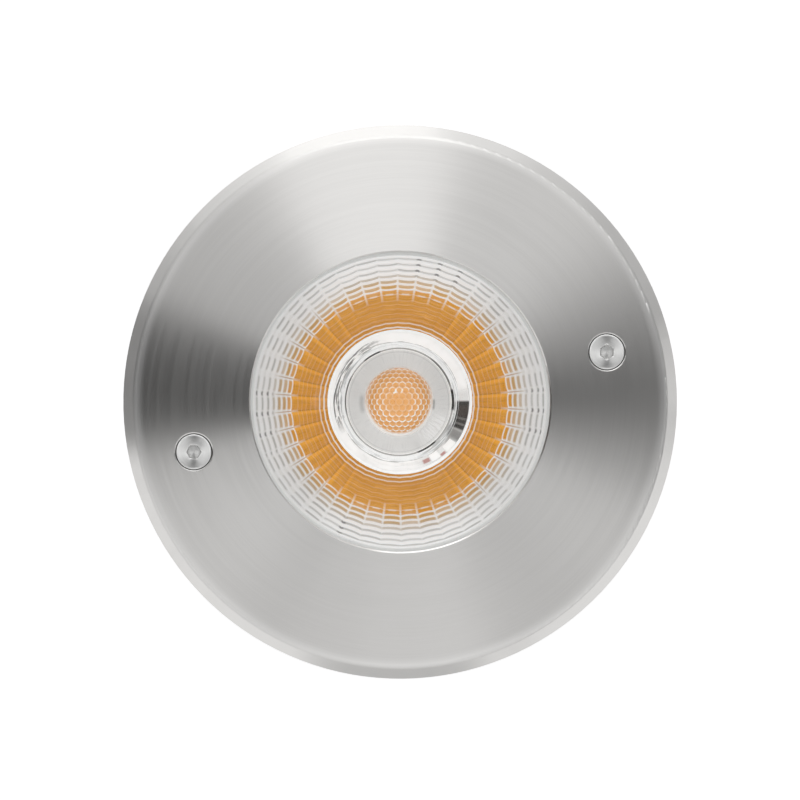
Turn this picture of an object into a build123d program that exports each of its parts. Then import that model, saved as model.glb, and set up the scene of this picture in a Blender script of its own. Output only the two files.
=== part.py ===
from build123d import *
from math import cos, pi, radians, sin
import os

# In-ground well light. A stainless cover ring is screwed down on a sealed lamp unit, which drops into
# a sleeve that is set in the ground. Lengths are in millimetres. Z points up along the lamp's axis,
# the two cover screws lie on the X axis, and the origin is the centre of the sleeve's foot.

# Clearances and cutting
running_gap = 0.3
slide_gap = 0.4
fit_gap = 0.05
thread_gap = 0.06
cover_gap = 0.3
overrun = 1.0

# Cover ring
cover_overhang = 1.0
cover_thickness = 6.0
cover_bevel = 2.3
cover_bevel_blend = 1.0
window_lap = 4.65
window_chamfer = 0.3
lip_thickness = 2.0
screw_land = 2.9
screw_count = 2

# Cover screws and the rings that keep them in the cover
head_radius = 3.62
head_edge = 0.15
head_edge_chamfer = 0.1
head_clearance = 0.15
sink_rim_blend = 0.35
neck_radius = 1.6
screw_hole_radius = 2.25
thread_radius = 2.0
thread_engagement = 6.0
tip_chamfer = 0.4
tip_room = 1.0
screw_travel = 7.0
socket_flats = 2.5
socket_depth = 2.3
socket_turns = {"left": 46.4, "right": 16.4}
ring_thickness = 0.8
ring_radius = 3.5
ring_play = 0.1
ring_neck_gap = 0.1
ring_mouth_width = 1.2
ring_pocket_radius = 4.0
insert_radius = 3.0
insert_groove_depth = 0.4
insert_groove_width = 1.0
boss_radius = 4.4
boss_floor = 2.0

# Window glass and its gasket
glass_seat_width = 1.0
glass_thickness = 5.0
glass_chamfer = 0.5
gasket_lip = 0.8
gasket_rim = 1.0
gasket_overlap = 2.5

# Collimator optic and its holder
facet_count = 42
facet_rows = 14
optic_rim_radius = 30.0
optic_foot_radius = 9.0
optic_flange_width = 3.0
optic_flange_thickness = 2.0
optic_depth = 29.7
recess_mouth_radius = 14.6
recess_floor_radius = 10.9
recess_depth = 16.0
bead_radius = 6.85
bead_height = 4.2
well_radius = 7.5
well_depth = 7.0
well_crown = 1.6
optic_gap = 0.4
optic_foot_gap = 0.6
holder_ledge_gap = 1.2
holder_ledge_height = 2.5
holder_wall = 1.5
holder_lip = 1.15
holder_window_width = 18.0
holder_window_height = 14.0
holder_window_count = 3
holder_window_start_angle = 30.0

# Light source on the deck of the lamp body
chip_board_side = 24.0
chip_board_thickness = 1.5
chip_board_corner = 1.0
pad_thickness = 0.5
phosphor_radius = 7.0
phosphor_thickness = 0.5
clamp_radius = 20.0
clamp_height = 3.2
clamp_window_gap = 0.2
clamp_tab_reach = 1.5
clamp_tab_width = 8.0
clamp_screw_radius = 16.2
clamp_head_radius = 2.75
clamp_head_height = 1.8
clamp_screw_depth = 4.0
clamp_thread_radius = 1.5
lead_radius = 0.6
lead_spacing = 2.6
lead_hole_radius = 3.5
lead_hole_margin = 1.5
lead_pad_inset = 2.4
lead_rise = 5.5
lead_bend_reach_share = 0.43
lead_drop = 1.6
bend_share = 0.45

# Lamp body casting
flange_margin = 7.3
flange_thickness = 7.3
can_wall = 3.5
deck_thickness = 5.0
driver_room = 40.0
fin_count = 24
fin_thickness = 1.8
fin_clearance = 4.0
flange_chamfer = 1.0
rear_boss_offset = 3.5
rear_boss_radius = 3.8
rear_boss_height = 13.0
rear_screw_count = 4
rear_screw_start_angle = 45.0
post_inset = 5.0
post_radius = 3.0
post_height = 8.0
post_count = 3
post_start_angle = 30.0
spring_pad_width = 8.0
spring_pad_rise = 1.5
spring_pad_height = 14.0

# Rear cover
rear_thickness = 4.0
spigot_height = 2.0
spigot_wall = 2.5
seal_radius = 0.75
seal_groove_width = 2.0
rear_head_radius = 2.75
rear_head_height = 2.5
rear_thread_radius = 1.5
rear_thread_length = 9.0
rear_socket_flats = 2.5

# Spring clips on the lamp body
spring_count = 3
spring_start_angle = 90.0
spring_width = 7.0
spring_thickness = 0.8
spring_tab = 12.0
spring_bow = 44.0
spring_end_gap = 2.0
spring_head_radius = 2.75
spring_head_height = 2.0
spring_screw_depth = 3.5

# Driver board and what it carries
board_edge_gap = 4.5
board_thickness = 1.6
board_head_radius = 2.75
board_head_height = 2.4
board_thread_radius = 1.5
board_thread_depth = 6.0
transformer_place_shares = (-0.1, 0.1)
transformer_core_width = 16.0
transformer_core_depth = 5.0
transformer_core_height = 14.0
transformer_leg = 4.0
transformer_side = 2.5
transformer_winding_depth = 12.5
transformer_corner = 1.5
transformer_seat = 1.5
input_capacitor_place_shares = (0.367, 0.4)
input_capacitor_radius = 5.0
input_capacitor_height = 16.0
output_capacitor_place_shares = (0.467, -0.3)
output_capacitor_radius = 4.0
output_capacitor_height = 12.0
capacitor_edge = 0.6
capacitor_neck = 0.35
capacitor_neck_height = 1.6
rectifier_place_shares = (-0.267, 0.567)
rectifier_width = 8.5
rectifier_depth = 6.4
rectifier_height = 3.3
chip_place_shares = (0.05, 0.6)
chip_width = 5.0
chip_depth = 4.0
chip_height = 1.6
varistor_place_shares = (0.6, 0.033)
varistor_radius = 4.5
varistor_thickness = 4.0
varistor_edge = 1.0
choke_place_shares = (-0.033, -0.433)
choke_radius = 4.0
choke_height = 10.0
choke_flange = 1.2
choke_waist = 0.8
terminal_place_shares = (-0.583, -0.2)
terminal_width = 8.0
terminal_length = 15.0
terminal_height = 10.0
terminal_pitch = 5.0
terminal_count = 3
terminal_screw_radius = 1.6
terminal_screw_depth = 4.0
terminal_slot = 0.5
terminal_entry_radius = 1.3
terminal_entry_height = 3.5

# Cable gland
cable_radius = 3.5
gland_thread_radius = 8.0
gland_flats = 19.0
gland_hex_height = 5.0
gland_outer_thread = 9.0
gland_bore_radius = 4.2
gland_inner_thread = 11.0
gland_washer_thickness = 1.5
gland_washer_radius = 11.5
locknut_flats = 22.0
locknut_height = 4.0
nut_floor = 3.0
nut_gap = 1.5
nut_mouth_radius = 5.0
nut_edge = 1.2
seal_wall = 1.5
seal_flange_radius = 6.6
seal_flange_thickness = 1.0
seal_flange_gap = 0.5
seal_end_gap = 1.0

# Ground sleeve
foot_clearance = 8.0
ledge_width = 2.0
sleeve_wall = 2.5
sleeve_floor = 3.0
base_flange = 1.5
floor_hole_radius = 30.0
collar_wall = 2.6
collar_depth = 5.0
rim_reach = 2.0
rim_thickness = 2.0
ledge_gasket_thickness = 1.0
cable_slot_width = 14.0
cable_slot_height = 20.0
cable_slot_sill = 5.0
cable_slot_corner = 3.0
drain_count = 8
drain_radius = 2.5

# Heights, from the sleeve's foot up
nut_bottom = foot_clearance
seal_bottom = nut_bottom + nut_floor
gland_bottom = seal_bottom + seal_flange_thickness + seal_flange_gap
gland_hex_bottom = gland_bottom + gland_outer_thread
gland_hex_top = gland_hex_bottom + gland_hex_height
rear_bottom = gland_hex_top + gland_washer_thickness
can_bottom = rear_bottom + rear_thickness
deck_bottom = can_bottom + driver_room
deck_top = deck_bottom + deck_thickness
chip_board_bottom = deck_top + pad_thickness
chip_board_top = chip_board_bottom + chip_board_thickness
optic_bottom = chip_board_top + optic_foot_gap
optic_top = optic_bottom + optic_depth
gasket_bottom = optic_top + optic_gap
glass_bottom = gasket_bottom + gasket_lip
glass_top = glass_bottom + glass_thickness
gasket_top = glass_top + gasket_lip
cover_top = gasket_top + lip_thickness
cover_bottom = cover_top - cover_thickness
flange_top = cover_bottom
flange_bottom = flange_top - flange_thickness
ledge_height = flange_bottom - ledge_gasket_thickness
sleeve_height = cover_bottom - cover_gap

# Radii, from the optic out: each piece goes round the one before it
optic_flange_radius = optic_rim_radius + optic_flange_width
holder_radius = optic_flange_radius + fit_gap + holder_lip
chamber_radius = holder_radius + running_gap
can_radius = chamber_radius + can_wall
board_radius = chamber_radius - board_edge_gap
glass_radius = chamber_radius + glass_seat_width
window_radius = glass_radius - window_lap
gasket_radius = glass_radius + gasket_rim
gasket_bore_radius = glass_radius - gasket_overlap
seat_radius = gasket_radius + fit_gap
cover_pocket_radius = gasket_radius + running_gap
screw_circle_radius = cover_pocket_radius + screw_land + ring_pocket_radius
flange_radius = screw_circle_radius + flange_margin
sleeve_bore_radius = flange_radius - ledge_width
sleeve_radius = sleeve_bore_radius + sleeve_wall
rebate_radius = flange_radius + slide_gap
collar_radius = rebate_radius + collar_wall
rim_radius = collar_radius + rim_reach
cover_radius = rim_radius + cover_overhang
screw_places = {"left": (-screw_circle_radius, 0), "right": (screw_circle_radius, 0)}

os.makedirs("parts", exist_ok=True)


def save(piece, name):
    """Labels a finished piece and writes its STEP file."""
    piece.part.label = name
    export_step(piece.part, f"parts/{name}.step")


def ring_of(count, radius, start=0.0):
    """Centres spaced evenly on a circle about the lamp's axis."""
    angles = [radians(start + 360.0 * i / count) for i in range(count)]
    return [(radius * cos(angle), radius * sin(angle)) for angle in angles]


def add_discs(radius, bottom, top, places=((0, 0),), mode=Mode.ADD):
    """Round discs, or holes with Mode.SUBTRACT, between two heights."""
    with BuildSketch(Plane.XY.offset(bottom)) as discs:
        with Locations(*places):
            Circle(radius)
    extrude(discs.sketch, amount=top - bottom, mode=mode)


def add_rings(outer, inner, bottom, top, places=((0, 0),)):
    """Flat rings between two heights."""
    with BuildSketch(Plane.XY.offset(bottom)) as rings:
        with Locations(*places):
            Circle(outer)
            Circle(inner, mode=Mode.SUBTRACT)
    extrude(rings.sketch, amount=top - bottom)


def add_hexes(flats, bottom, top, places=((0, 0),), turn_angle=0.0, mode=Mode.ADD):
    """Hexagonal prisms, or sockets, of a given width across flats."""
    with BuildSketch(Plane.XY.offset(bottom)) as hexes:
        with Locations(*places):
            RegularPolygon(flats / 2, 6, major_radius=False, rotation=turn_angle)
    extrude(hexes.sketch, amount=top - bottom, mode=mode)


def add_blocks(width, depth, bottom, top, places=((0, 0),), mode=Mode.ADD):
    """Rectangular blocks between two heights."""
    with BuildSketch(Plane.XY.offset(bottom)) as blocks:
        with Locations(*places):
            Rectangle(width, depth)
    extrude(blocks.sketch, amount=top - bottom, mode=mode)


def turn(outline, centre=(0, 0), mode=Mode.ADD):
    """A closed outline of (radius, height) points, turned about an upright axis through centre."""
    base = (centre[0], centre[1], 0)
    with BuildSketch(Plane(origin=base, x_dir=(1, 0, 0), z_dir=(0, -1, 0))) as section:
        with BuildLine():
            Polyline(*outline, close=True)
        make_face()
    revolve(section.sketch, axis=Axis(base, (0, 0, 1)), mode=mode)


# Ground sleeve: a tube on an open base, with a ledge for the lamp unit and a rim under the cover
collar_bottom = ledge_height - collar_depth
cable_slot_middle = cable_slot_sill + cable_slot_height / 2
with BuildPart() as ground_sleeve:
    turn([
        (sleeve_bore_radius, base_flange),
        (sleeve_radius, base_flange),
        (sleeve_radius, collar_bottom),
        (collar_radius, collar_bottom + collar_radius - sleeve_radius),
        (collar_radius, sleeve_height - rim_thickness),
        (rim_radius, sleeve_height - rim_thickness),
        (rim_radius, sleeve_height),
        (rebate_radius, sleeve_height),
        (rebate_radius, ledge_height),
        (sleeve_bore_radius, ledge_height),
    ])
    with BuildSketch(Plane.YZ.offset(-sleeve_radius - overrun)) as slots:
        with Locations((0, cable_slot_middle)):
            RectangleRounded(cable_slot_width, cable_slot_height, cable_slot_corner)
    extrude(slots.sketch, amount=2 * (sleeve_radius + overrun), mode=Mode.SUBTRACT)
save(ground_sleeve, "ground_sleeve")

with BuildPart() as sleeve_base:
    base_plug_radius = sleeve_bore_radius - fit_gap
    turn([
        (floor_hole_radius, 0),
        (sleeve_radius, 0),
        (sleeve_radius, base_flange),
        (base_plug_radius, base_flange),
        (base_plug_radius, sleeve_floor),
        (floor_hole_radius, sleeve_floor),
    ])
    drains = ring_of(drain_count, (floor_hole_radius + base_plug_radius) / 2, 180.0 / drain_count)
    add_discs(drain_radius, -overrun, sleeve_floor + overrun, drains, Mode.SUBTRACT)
save(sleeve_base, "sleeve_base")

with BuildPart() as ledge_gasket:
    ledge_gasket_bore = sleeve_bore_radius + fit_gap
    add_rings(rebate_radius - fit_gap, ledge_gasket_bore, ledge_height, flange_bottom)
save(ledge_gasket, "ledge_gasket")

# Lamp body: a casting with a can, a deck for the light source and a seat for the gasket
pocket_depth = screw_travel + ring_thickness + 2 * ring_play
pocket_bottom = cover_bottom - pocket_depth
screw_tip = pocket_bottom - thread_engagement
insert_bottom = screw_tip - tip_room
boss_bottom = insert_bottom - boss_floor
fin_bottom = can_bottom + rear_boss_height
fin_tip_radius = sleeve_bore_radius - fin_clearance
both_screws = list(screw_places.values())
posts = ring_of(post_count, board_radius - post_inset, post_start_angle)
post_bottom = deck_bottom - post_height
rear_screws = ring_of(rear_screw_count, can_radius + rear_boss_offset, rear_screw_start_angle)
rear_screw_top = rear_bottom + rear_head_height + rear_thread_length
spring_angles = [spring_start_angle + 360.0 * i / spring_count for i in range(spring_count)]
spring_pad_face = can_radius + spring_pad_rise
spring_screw_height = fin_bottom + spring_pad_height / 2
with BuildPart() as lamp_body:
    add_discs(can_radius, can_bottom, flange_top)
    add_discs(flange_radius, flange_bottom, flange_top)
    add_discs(boss_radius, boss_bottom, flange_bottom, both_screws)
    add_discs(rear_boss_radius, can_bottom, fin_bottom, rear_screws)
    for angle in spring_angles:
        outward = (cos(radians(angle)), sin(radians(angle)), 0)
        pad_plane = Plane(origin=(0, 0, spring_screw_height), x_dir=(0, 0, 1), z_dir=outward)
        with BuildSketch(pad_plane) as pad:
            Rectangle(spring_pad_height, spring_pad_width)
        extrude(pad.sketch, amount=spring_pad_face)
    chamfer(lamp_body.faces().sort_by(Axis.Z)[-1].outer_wire().edges(), flange_chamfer)
    add_discs(chamber_radius, can_bottom - overrun, deck_bottom, mode=Mode.SUBTRACT)
    add_discs(chamber_radius, deck_top, flange_top + overrun, mode=Mode.SUBTRACT)
    add_discs(seat_radius, gasket_bottom, flange_top + overrun, mode=Mode.SUBTRACT)
    add_discs(post_radius, post_bottom, deck_bottom, posts)
    post_hole_top = post_bottom + board_thread_depth - board_thickness
    post_hole_radius = board_thread_radius + fit_gap
    add_discs(post_hole_radius, post_bottom - overrun, post_hole_top, posts, Mode.SUBTRACT)
    lead_hole_reach = clamp_radius + lead_hole_margin + lead_hole_radius
    lead_hole = [(0, lead_hole_reach)]
    add_discs(lead_hole_radius, deck_bottom - overrun, deck_top + overrun, lead_hole, Mode.SUBTRACT)
    clamp_screws = [(-clamp_screw_radius, 0), (clamp_screw_radius, 0)]
    clamp_hole_bottom = deck_top - clamp_screw_depth
    clamp_hole_radius = clamp_thread_radius + fit_gap
    add_discs(clamp_hole_radius, clamp_hole_bottom, deck_top + overrun, clamp_screws, Mode.SUBTRACT)
    add_discs(ring_pocket_radius, pocket_bottom, flange_top + overrun, both_screws, Mode.SUBTRACT)
    add_discs(insert_radius + fit_gap, insert_bottom, flange_top, both_screws, Mode.SUBTRACT)
    rear_hole_radius = rear_thread_radius + fit_gap
    rear_hole_top = rear_screw_top + fit_gap
    add_discs(rear_hole_radius, can_bottom - overrun, rear_hole_top, rear_screws, Mode.SUBTRACT)
    for angle in spring_angles:
        outward = (cos(radians(angle)), sin(radians(angle)), 0)
        hole_floor = spring_pad_face - spring_screw_depth
        hole_origin = (hole_floor * outward[0], hole_floor * outward[1], spring_screw_height)
        with BuildSketch(Plane(origin=hole_origin, x_dir=(0, 0, 1), z_dir=outward)) as hole:
            Circle(board_thread_radius + fit_gap)
        extrude(hole.sketch, amount=spring_screw_depth + overrun, mode=Mode.SUBTRACT)
save(lamp_body, "lamp_body")

with BuildPart() as cooling_fins:
    with BuildSketch(Plane.XY.offset(fin_bottom)) as fins:
        with PolarLocations(fin_tip_radius / 2, fin_count, start_angle=180.0 / fin_count):
            Rectangle(fin_tip_radius, fin_thickness)
        Circle(can_radius, mode=Mode.SUBTRACT)
    extrude(fins.sketch, amount=flange_bottom - fin_bottom)
save(cooling_fins, "cooling_fins")

with BuildPart() as thread_inserts:
    for place in both_screws:
        groove_middle = (insert_bottom + pocket_bottom) / 2
        turn([
            (thread_radius + thread_gap, insert_bottom),
            (insert_radius, insert_bottom),
            (insert_radius, groove_middle - insert_groove_width),
            (insert_radius - insert_groove_depth, groove_middle - insert_groove_width / 2),
            (insert_radius - insert_groove_depth, groove_middle + insert_groove_width / 2),
            (insert_radius, groove_middle + insert_groove_width),
            (insert_radius, pocket_bottom),
            (thread_radius + thread_gap, pocket_bottom),
        ], place)
save(thread_inserts, "thread_inserts")

# Cover ring: bevelled plate with a round window, a pocket for the gasket and countersunk holes
sink_radius = head_radius + head_edge + head_clearance
with BuildPart() as cover_ring:
    add_discs(cover_radius, cover_bottom, cover_top)
    chamfer(cover_ring.edges().sort_by(Axis.Z)[-1], cover_bevel)
    fillet(cover_ring.edges().sort_by(Axis.Z)[-1], cover_bevel_blend)
    add_discs(window_radius, cover_bottom - overrun, cover_top + overrun, mode=Mode.SUBTRACT)
    chamfer(cover_ring.faces().sort_by(Axis.Z)[-1].inner_wires().edges(), window_chamfer)
    add_discs(cover_pocket_radius, cover_bottom - overrun, gasket_top, mode=Mode.SUBTRACT)
    with Locations(*[(x, y, cover_top) for x, y in both_screws]):
        CounterSinkHole(screw_hole_radius, sink_radius, cover_thickness + overrun, 90)
    top_edges = cover_ring.faces().sort_by(Axis.Z)[-1].edges()
    fillet(top_edges.sort_by(SortBy.RADIUS)[:screw_count], sink_rim_blend)
save(cover_ring, "cover_ring")

# Cover screws, with a thin neck, and the open rings that snap round it under the cover
for side, place in screw_places.items():
    cone_bottom = cover_top - head_edge - (head_radius - neck_radius)
    with BuildPart() as cover_screw:
        turn([
            (0, screw_tip),
            (thread_radius - tip_chamfer, screw_tip),
            (thread_radius, screw_tip + tip_chamfer),
            (thread_radius, pocket_bottom),
            (neck_radius, pocket_bottom),
            (neck_radius, cone_bottom),
            (head_radius, cover_top - head_edge),
            (head_radius, cover_top - head_edge_chamfer),
            (head_radius - head_edge_chamfer, cover_top),
            (0, cover_top),
        ], place)
        socket_floor = cover_top - socket_depth
        socket_top = cover_top + overrun
        socket_turn = socket_turns[side]
        add_hexes(socket_flats, socket_floor, socket_top, [place], socket_turn, Mode.SUBTRACT)
    save(cover_screw, f"cover_screw_{side}")

    ring_bottom = pocket_bottom + ring_play
    ring_top = ring_bottom + ring_thickness
    mouth_place = (place[0], place[1] + ring_radius / 2 + overrun / 2)
    with BuildPart() as retaining_ring:
        add_rings(ring_radius, neck_radius + ring_neck_gap, ring_bottom, ring_top, [place])
        mouth_depth = ring_radius + overrun
        add_blocks(ring_mouth_width, mouth_depth, ring_bottom, ring_top, [mouth_place], Mode.SUBTRACT)
    save(retaining_ring, f"retaining_ring_{side}")

# Window glass in its U-shaped gasket
with BuildPart() as window_glass:
    add_discs(glass_radius, glass_bottom, glass_top)
    chamfer(window_glass.edges().filter_by(GeomType.CIRCLE), glass_chamfer)
save(window_glass, "window_glass")

with BuildPart() as glass_gasket:
    slot_radius = glass_radius + fit_gap
    turn([
        (gasket_bore_radius, gasket_bottom),
        (gasket_radius, gasket_bottom),
        (gasket_radius, gasket_top),
        (gasket_bore_radius, gasket_top),
        (gasket_bore_radius, glass_top),
        (slot_radius, glass_top),
        (slot_radius, glass_bottom),
        (gasket_bore_radius, glass_bottom),
    ])
save(glass_gasket, "glass_gasket")

# Collimator optic: a faceted cup of clear plastic with a flange, a front recess and a rear well
optic_flange_bottom = optic_top - optic_flange_thickness
facet_height = optic_flange_bottom - optic_bottom
row_shares = [i / facet_rows for i in range(facet_rows + 1)]
row_radii = [optic_foot_radius * (optic_rim_radius / optic_foot_radius) ** share for share in row_shares]
foot_square = optic_foot_radius ** 2
rim_square = optic_rim_radius ** 2
with BuildPart() as collimator_optic:
    for radius in row_radii:
        rise_share = (radius ** 2 - foot_square) / (rim_square - foot_square)
        with BuildSketch(Plane.XY.offset(optic_bottom + facet_height * rise_share)):
            RegularPolygon(radius, facet_count)
    loft(ruled=True)
    add_discs(optic_flange_radius, optic_flange_bottom, optic_top)
    recess_floor = optic_top - recess_depth
    with BuildSketch(Plane.XZ):
        with BuildLine():
            bead_top = (0, recess_floor + bead_height)
            bead_edge = (bead_radius, recess_floor)
            bead_curve = (bead_height ** 2 + bead_radius ** 2) / (2 * bead_height)
            RadiusArc(bead_top, bead_edge, bead_curve)
            Polyline(bead_edge, (recess_floor_radius, recess_floor), (recess_mouth_radius, optic_top),
                     (recess_mouth_radius, optic_top + overrun), (0, optic_top + overrun), bead_top)
        make_face()
    revolve(axis=Axis.Z, mode=Mode.SUBTRACT)
    with BuildSketch(Plane.XZ):
        with BuildLine():
            well_edge = (well_radius, optic_bottom + well_depth)
            well_top = (0, optic_bottom + well_depth + well_crown)
            well_curve = (well_crown ** 2 + well_radius ** 2) / (2 * well_crown)
            RadiusArc(well_top, well_edge, well_curve)
            well_mouth = optic_bottom - overrun
            Polyline(well_edge, (well_radius, well_mouth), (0, well_mouth), well_top)
        make_face()
    revolve(axis=Axis.Z, mode=Mode.SUBTRACT)
save(collimator_optic, "collimator_optic")

# Optic holder: a windowed tube that stands on the deck and carries the optic's flange
holder_ledge_radius = optic_rim_radius + holder_ledge_gap
holder_bore_radius = holder_radius - holder_wall
ledge_foot = optic_flange_bottom - holder_ledge_height
window_middle = (deck_top + ledge_foot) / 2
with BuildPart() as optic_holder:
    turn([
        (holder_bore_radius, deck_top),
        (holder_radius, deck_top),
        (holder_radius, optic_top),
        (optic_flange_radius + fit_gap, optic_top),
        (optic_flange_radius + fit_gap, optic_flange_bottom),
        (holder_ledge_radius, optic_flange_bottom),
        (holder_ledge_radius, ledge_foot),
        (holder_bore_radius, ledge_foot - (holder_bore_radius - holder_ledge_radius)),
    ])
    for i in range(holder_window_count):
        angle = radians(holder_window_start_angle + 360.0 * i / holder_window_count)
        outward = (cos(angle), sin(angle), 0)
        window_plane = Plane(origin=(0, 0, window_middle), x_dir=(0, 0, 1), z_dir=outward)
        with BuildSketch(window_plane) as window:
            RectangleRounded(holder_window_height, holder_window_width, holder_wall)
        extrude(window.sketch, amount=holder_radius + overrun, mode=Mode.SUBTRACT)
save(optic_holder, "optic_holder")

# Light source: chip board on a heat pad, its phosphor, the clamp that holds it and two leads
with BuildPart() as heat_pad:
    add_blocks(chip_board_side, chip_board_side, deck_top, chip_board_bottom)
save(heat_pad, "heat_pad")

with BuildPart() as chip_board:
    add_blocks(chip_board_side, chip_board_side, chip_board_bottom, chip_board_top)
    chamfer(chip_board.edges().filter_by(Axis.Z), chip_board_corner)
save(chip_board, "chip_board")

with BuildPart() as phosphor_disc:
    add_discs(phosphor_radius, chip_board_top, chip_board_top + phosphor_thickness)
save(phosphor_disc, "phosphor_disc")

clamp_window = chip_board_side + 2 * clamp_window_gap
clamp_top = deck_top + clamp_height
tab_length = clamp_tab_reach + clamp_window_gap + overrun
tab_middle = chip_board_side / 2 - clamp_tab_reach + tab_length / 2
clamp_head_bottom = clamp_top - clamp_head_height
with BuildPart() as chip_clamp:
    add_discs(clamp_radius, deck_top, clamp_top)
    add_blocks(clamp_window, clamp_window, deck_top - overrun, clamp_top + overrun, mode=Mode.SUBTRACT)
    tabs = [(-tab_middle, 0), (tab_middle, 0)]
    add_blocks(tab_length, clamp_tab_width, chip_board_top, clamp_top, tabs)
    clamp_hole = clamp_thread_radius + clamp_window_gap
    add_discs(clamp_hole, deck_top - overrun, clamp_top + overrun, clamp_screws, Mode.SUBTRACT)
    clamp_sink = clamp_head_radius + clamp_window_gap
    add_discs(clamp_sink, clamp_head_bottom, clamp_top + overrun, clamp_screws, Mode.SUBTRACT)
save(chip_clamp, "chip_clamp")

with BuildPart() as clamp_screw_pair:
    add_discs(clamp_thread_radius, clamp_hole_bottom, clamp_head_bottom, clamp_screws)
    add_discs(clamp_head_radius, clamp_head_bottom, clamp_top, clamp_screws)
    socket_floor = clamp_top - clamp_head_height / 2
    add_hexes(clamp_thread_radius, socket_floor, clamp_top + overrun, clamp_screws, mode=Mode.SUBTRACT)
save(clamp_screw_pair, "clamp_screws")

board_top = post_bottom
board_bottom = board_top - board_thickness
lead_pad_reach = chip_board_side / 2 - lead_pad_inset
for name, side in (("red_lead", -1), ("black_lead", 1)):
    hole_x = side * lead_spacing / 2
    pad_x = side * lead_pad_reach
    lead_top = deck_top + lead_rise
    bend_x = pad_x + lead_bend_reach_share * (hole_x - pad_x) / 2
    bend_y = lead_pad_reach + lead_bend_reach_share * (lead_hole_reach - lead_pad_reach) / 2
    drop_top = chip_board_top + lead_drop
    route = [
        Vector(hole_x, lead_hole_reach, board_top),
        Vector(hole_x, lead_hole_reach, lead_top),
        Vector(bend_x, bend_y, lead_top),
        Vector(pad_x, lead_pad_reach, drop_top),
        Vector(pad_x, lead_pad_reach, chip_board_top),
    ]
    runs = [b - a for a, b in zip(route, route[1:])]
    bends = []
    for before, after in zip(runs, runs[1:]):
        half_turn = radians(before.get_angle(after) / 2)
        bends.append(bend_share * min(before.length, after.length) * cos(half_turn) / sin(half_turn))
    with BuildPart() as lead:
        with BuildLine() as lead_line:
            FilletPolyline(*route, radius=bends)
        with BuildSketch(Plane.XY.offset(board_top)):
            with Locations((hole_x, lead_hole_reach)):
                Circle(lead_radius)
        sweep()
    true_volume = pi * lead_radius ** 2 * lead_line.wires()[0].length
    print(name, "bends", [round(bend, 2) for bend in bends], "volume share", lead.part.volume / true_volume)
    save(lead, name)

def on_board(place_shares):
    """Place on the driver board for a pair of shares of its radius."""
    return (place_shares[0] * board_radius, place_shares[1] * board_radius)


# Driver board under the deck, component side down
with BuildPart() as driver_board:
    add_discs(board_radius, board_bottom, board_top)
    board_hole = board_thread_radius + fit_gap
    add_discs(board_hole, board_bottom - overrun, board_top + overrun, posts, Mode.SUBTRACT)
save(driver_board, "driver_board")

with BuildPart() as board_screws:
    board_screw_top = board_bottom + board_thread_depth
    add_discs(board_thread_radius, board_bottom, board_screw_top, posts)
    board_head_bottom = board_bottom - board_head_height
    add_discs(board_head_radius, board_head_bottom, board_bottom, posts)
    board_socket_top = board_head_bottom + board_head_height / 2
    add_hexes(board_thread_radius, board_head_bottom - overrun, board_socket_top, posts, mode=Mode.SUBTRACT)
save(board_screws, "board_screws")

# Transformer: a core of three upright legs and two bars, round a winding on its middle leg
core_top = board_bottom - transformer_seat
core_bottom = core_top - transformer_core_height
window_bottom = core_bottom + transformer_side
window_top = core_top - transformer_side
window_width = transformer_core_width - 2 * transformer_side
transformer_place = on_board(transformer_place_shares)
with BuildPart() as transformer_core:
    add_blocks(transformer_core_width, transformer_core_depth, core_bottom, core_top, [transformer_place])
    add_blocks(window_width, transformer_core_depth, window_bottom, window_top, [transformer_place],
               Mode.SUBTRACT)
    add_blocks(transformer_leg, transformer_core_depth, window_bottom, window_top, [transformer_place])
save(transformer_core, "transformer_core")

with BuildPart() as transformer_winding:
    winding_width = window_width - 2 * fit_gap
    winding_bottom = window_bottom + fit_gap
    winding_top = window_top - fit_gap
    leg_width = transformer_leg + 2 * fit_gap
    leg_depth = transformer_core_depth + 2 * fit_gap
    add_blocks(winding_width, transformer_winding_depth, winding_bottom, winding_top, [transformer_place])
    fillet(transformer_winding.edges().filter_by(Axis.Z), transformer_corner)
    add_blocks(leg_width, leg_depth, winding_bottom, winding_top, [transformer_place], Mode.SUBTRACT)
    foot_places = [
        (transformer_place[0], transformer_place[1] + sign * (leg_depth + transformer_winding_depth) / 4)
        for sign in (-1, 1)
    ]
    add_blocks(transformer_leg, transformer_seat, winding_top, board_bottom, foot_places)
save(transformer_winding, "transformer_winding")


def capacitor_outline(radius, height):
    """Upright can with a rolled neck near the board and rounded ends, hung under the board."""
    bottom = board_bottom - height
    neck_middle = board_bottom - capacitor_neck_height
    return [
        (0, bottom),
        (radius - capacitor_edge, bottom),
        (radius, bottom + capacitor_edge),
        (radius, neck_middle - capacitor_neck),
        (radius - capacitor_neck, neck_middle),
        (radius, neck_middle + capacitor_neck),
        (radius, board_bottom - capacitor_edge),
        (radius - capacitor_edge, board_bottom),
        (0, board_bottom),
    ]


with BuildPart() as input_capacitor:
    input_capacitor_outline = capacitor_outline(input_capacitor_radius, input_capacitor_height)
    turn(input_capacitor_outline, on_board(input_capacitor_place_shares))
save(input_capacitor, "input_capacitor")

with BuildPart() as output_capacitor:
    output_capacitor_outline = capacitor_outline(output_capacitor_radius, output_capacitor_height)
    turn(output_capacitor_outline, on_board(output_capacitor_place_shares))
save(output_capacitor, "output_capacitor")

with BuildPart() as bridge_rectifier:
    rectifier_bottom = board_bottom - rectifier_height
    rectifier_places = [on_board(rectifier_place_shares)]
    add_blocks(rectifier_width, rectifier_depth, rectifier_bottom, board_bottom, rectifier_places)
    chamfer(bridge_rectifier.faces().sort_by(Axis.Z)[0].edges(), rectifier_height / 6)
save(bridge_rectifier, "bridge_rectifier")

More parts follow.
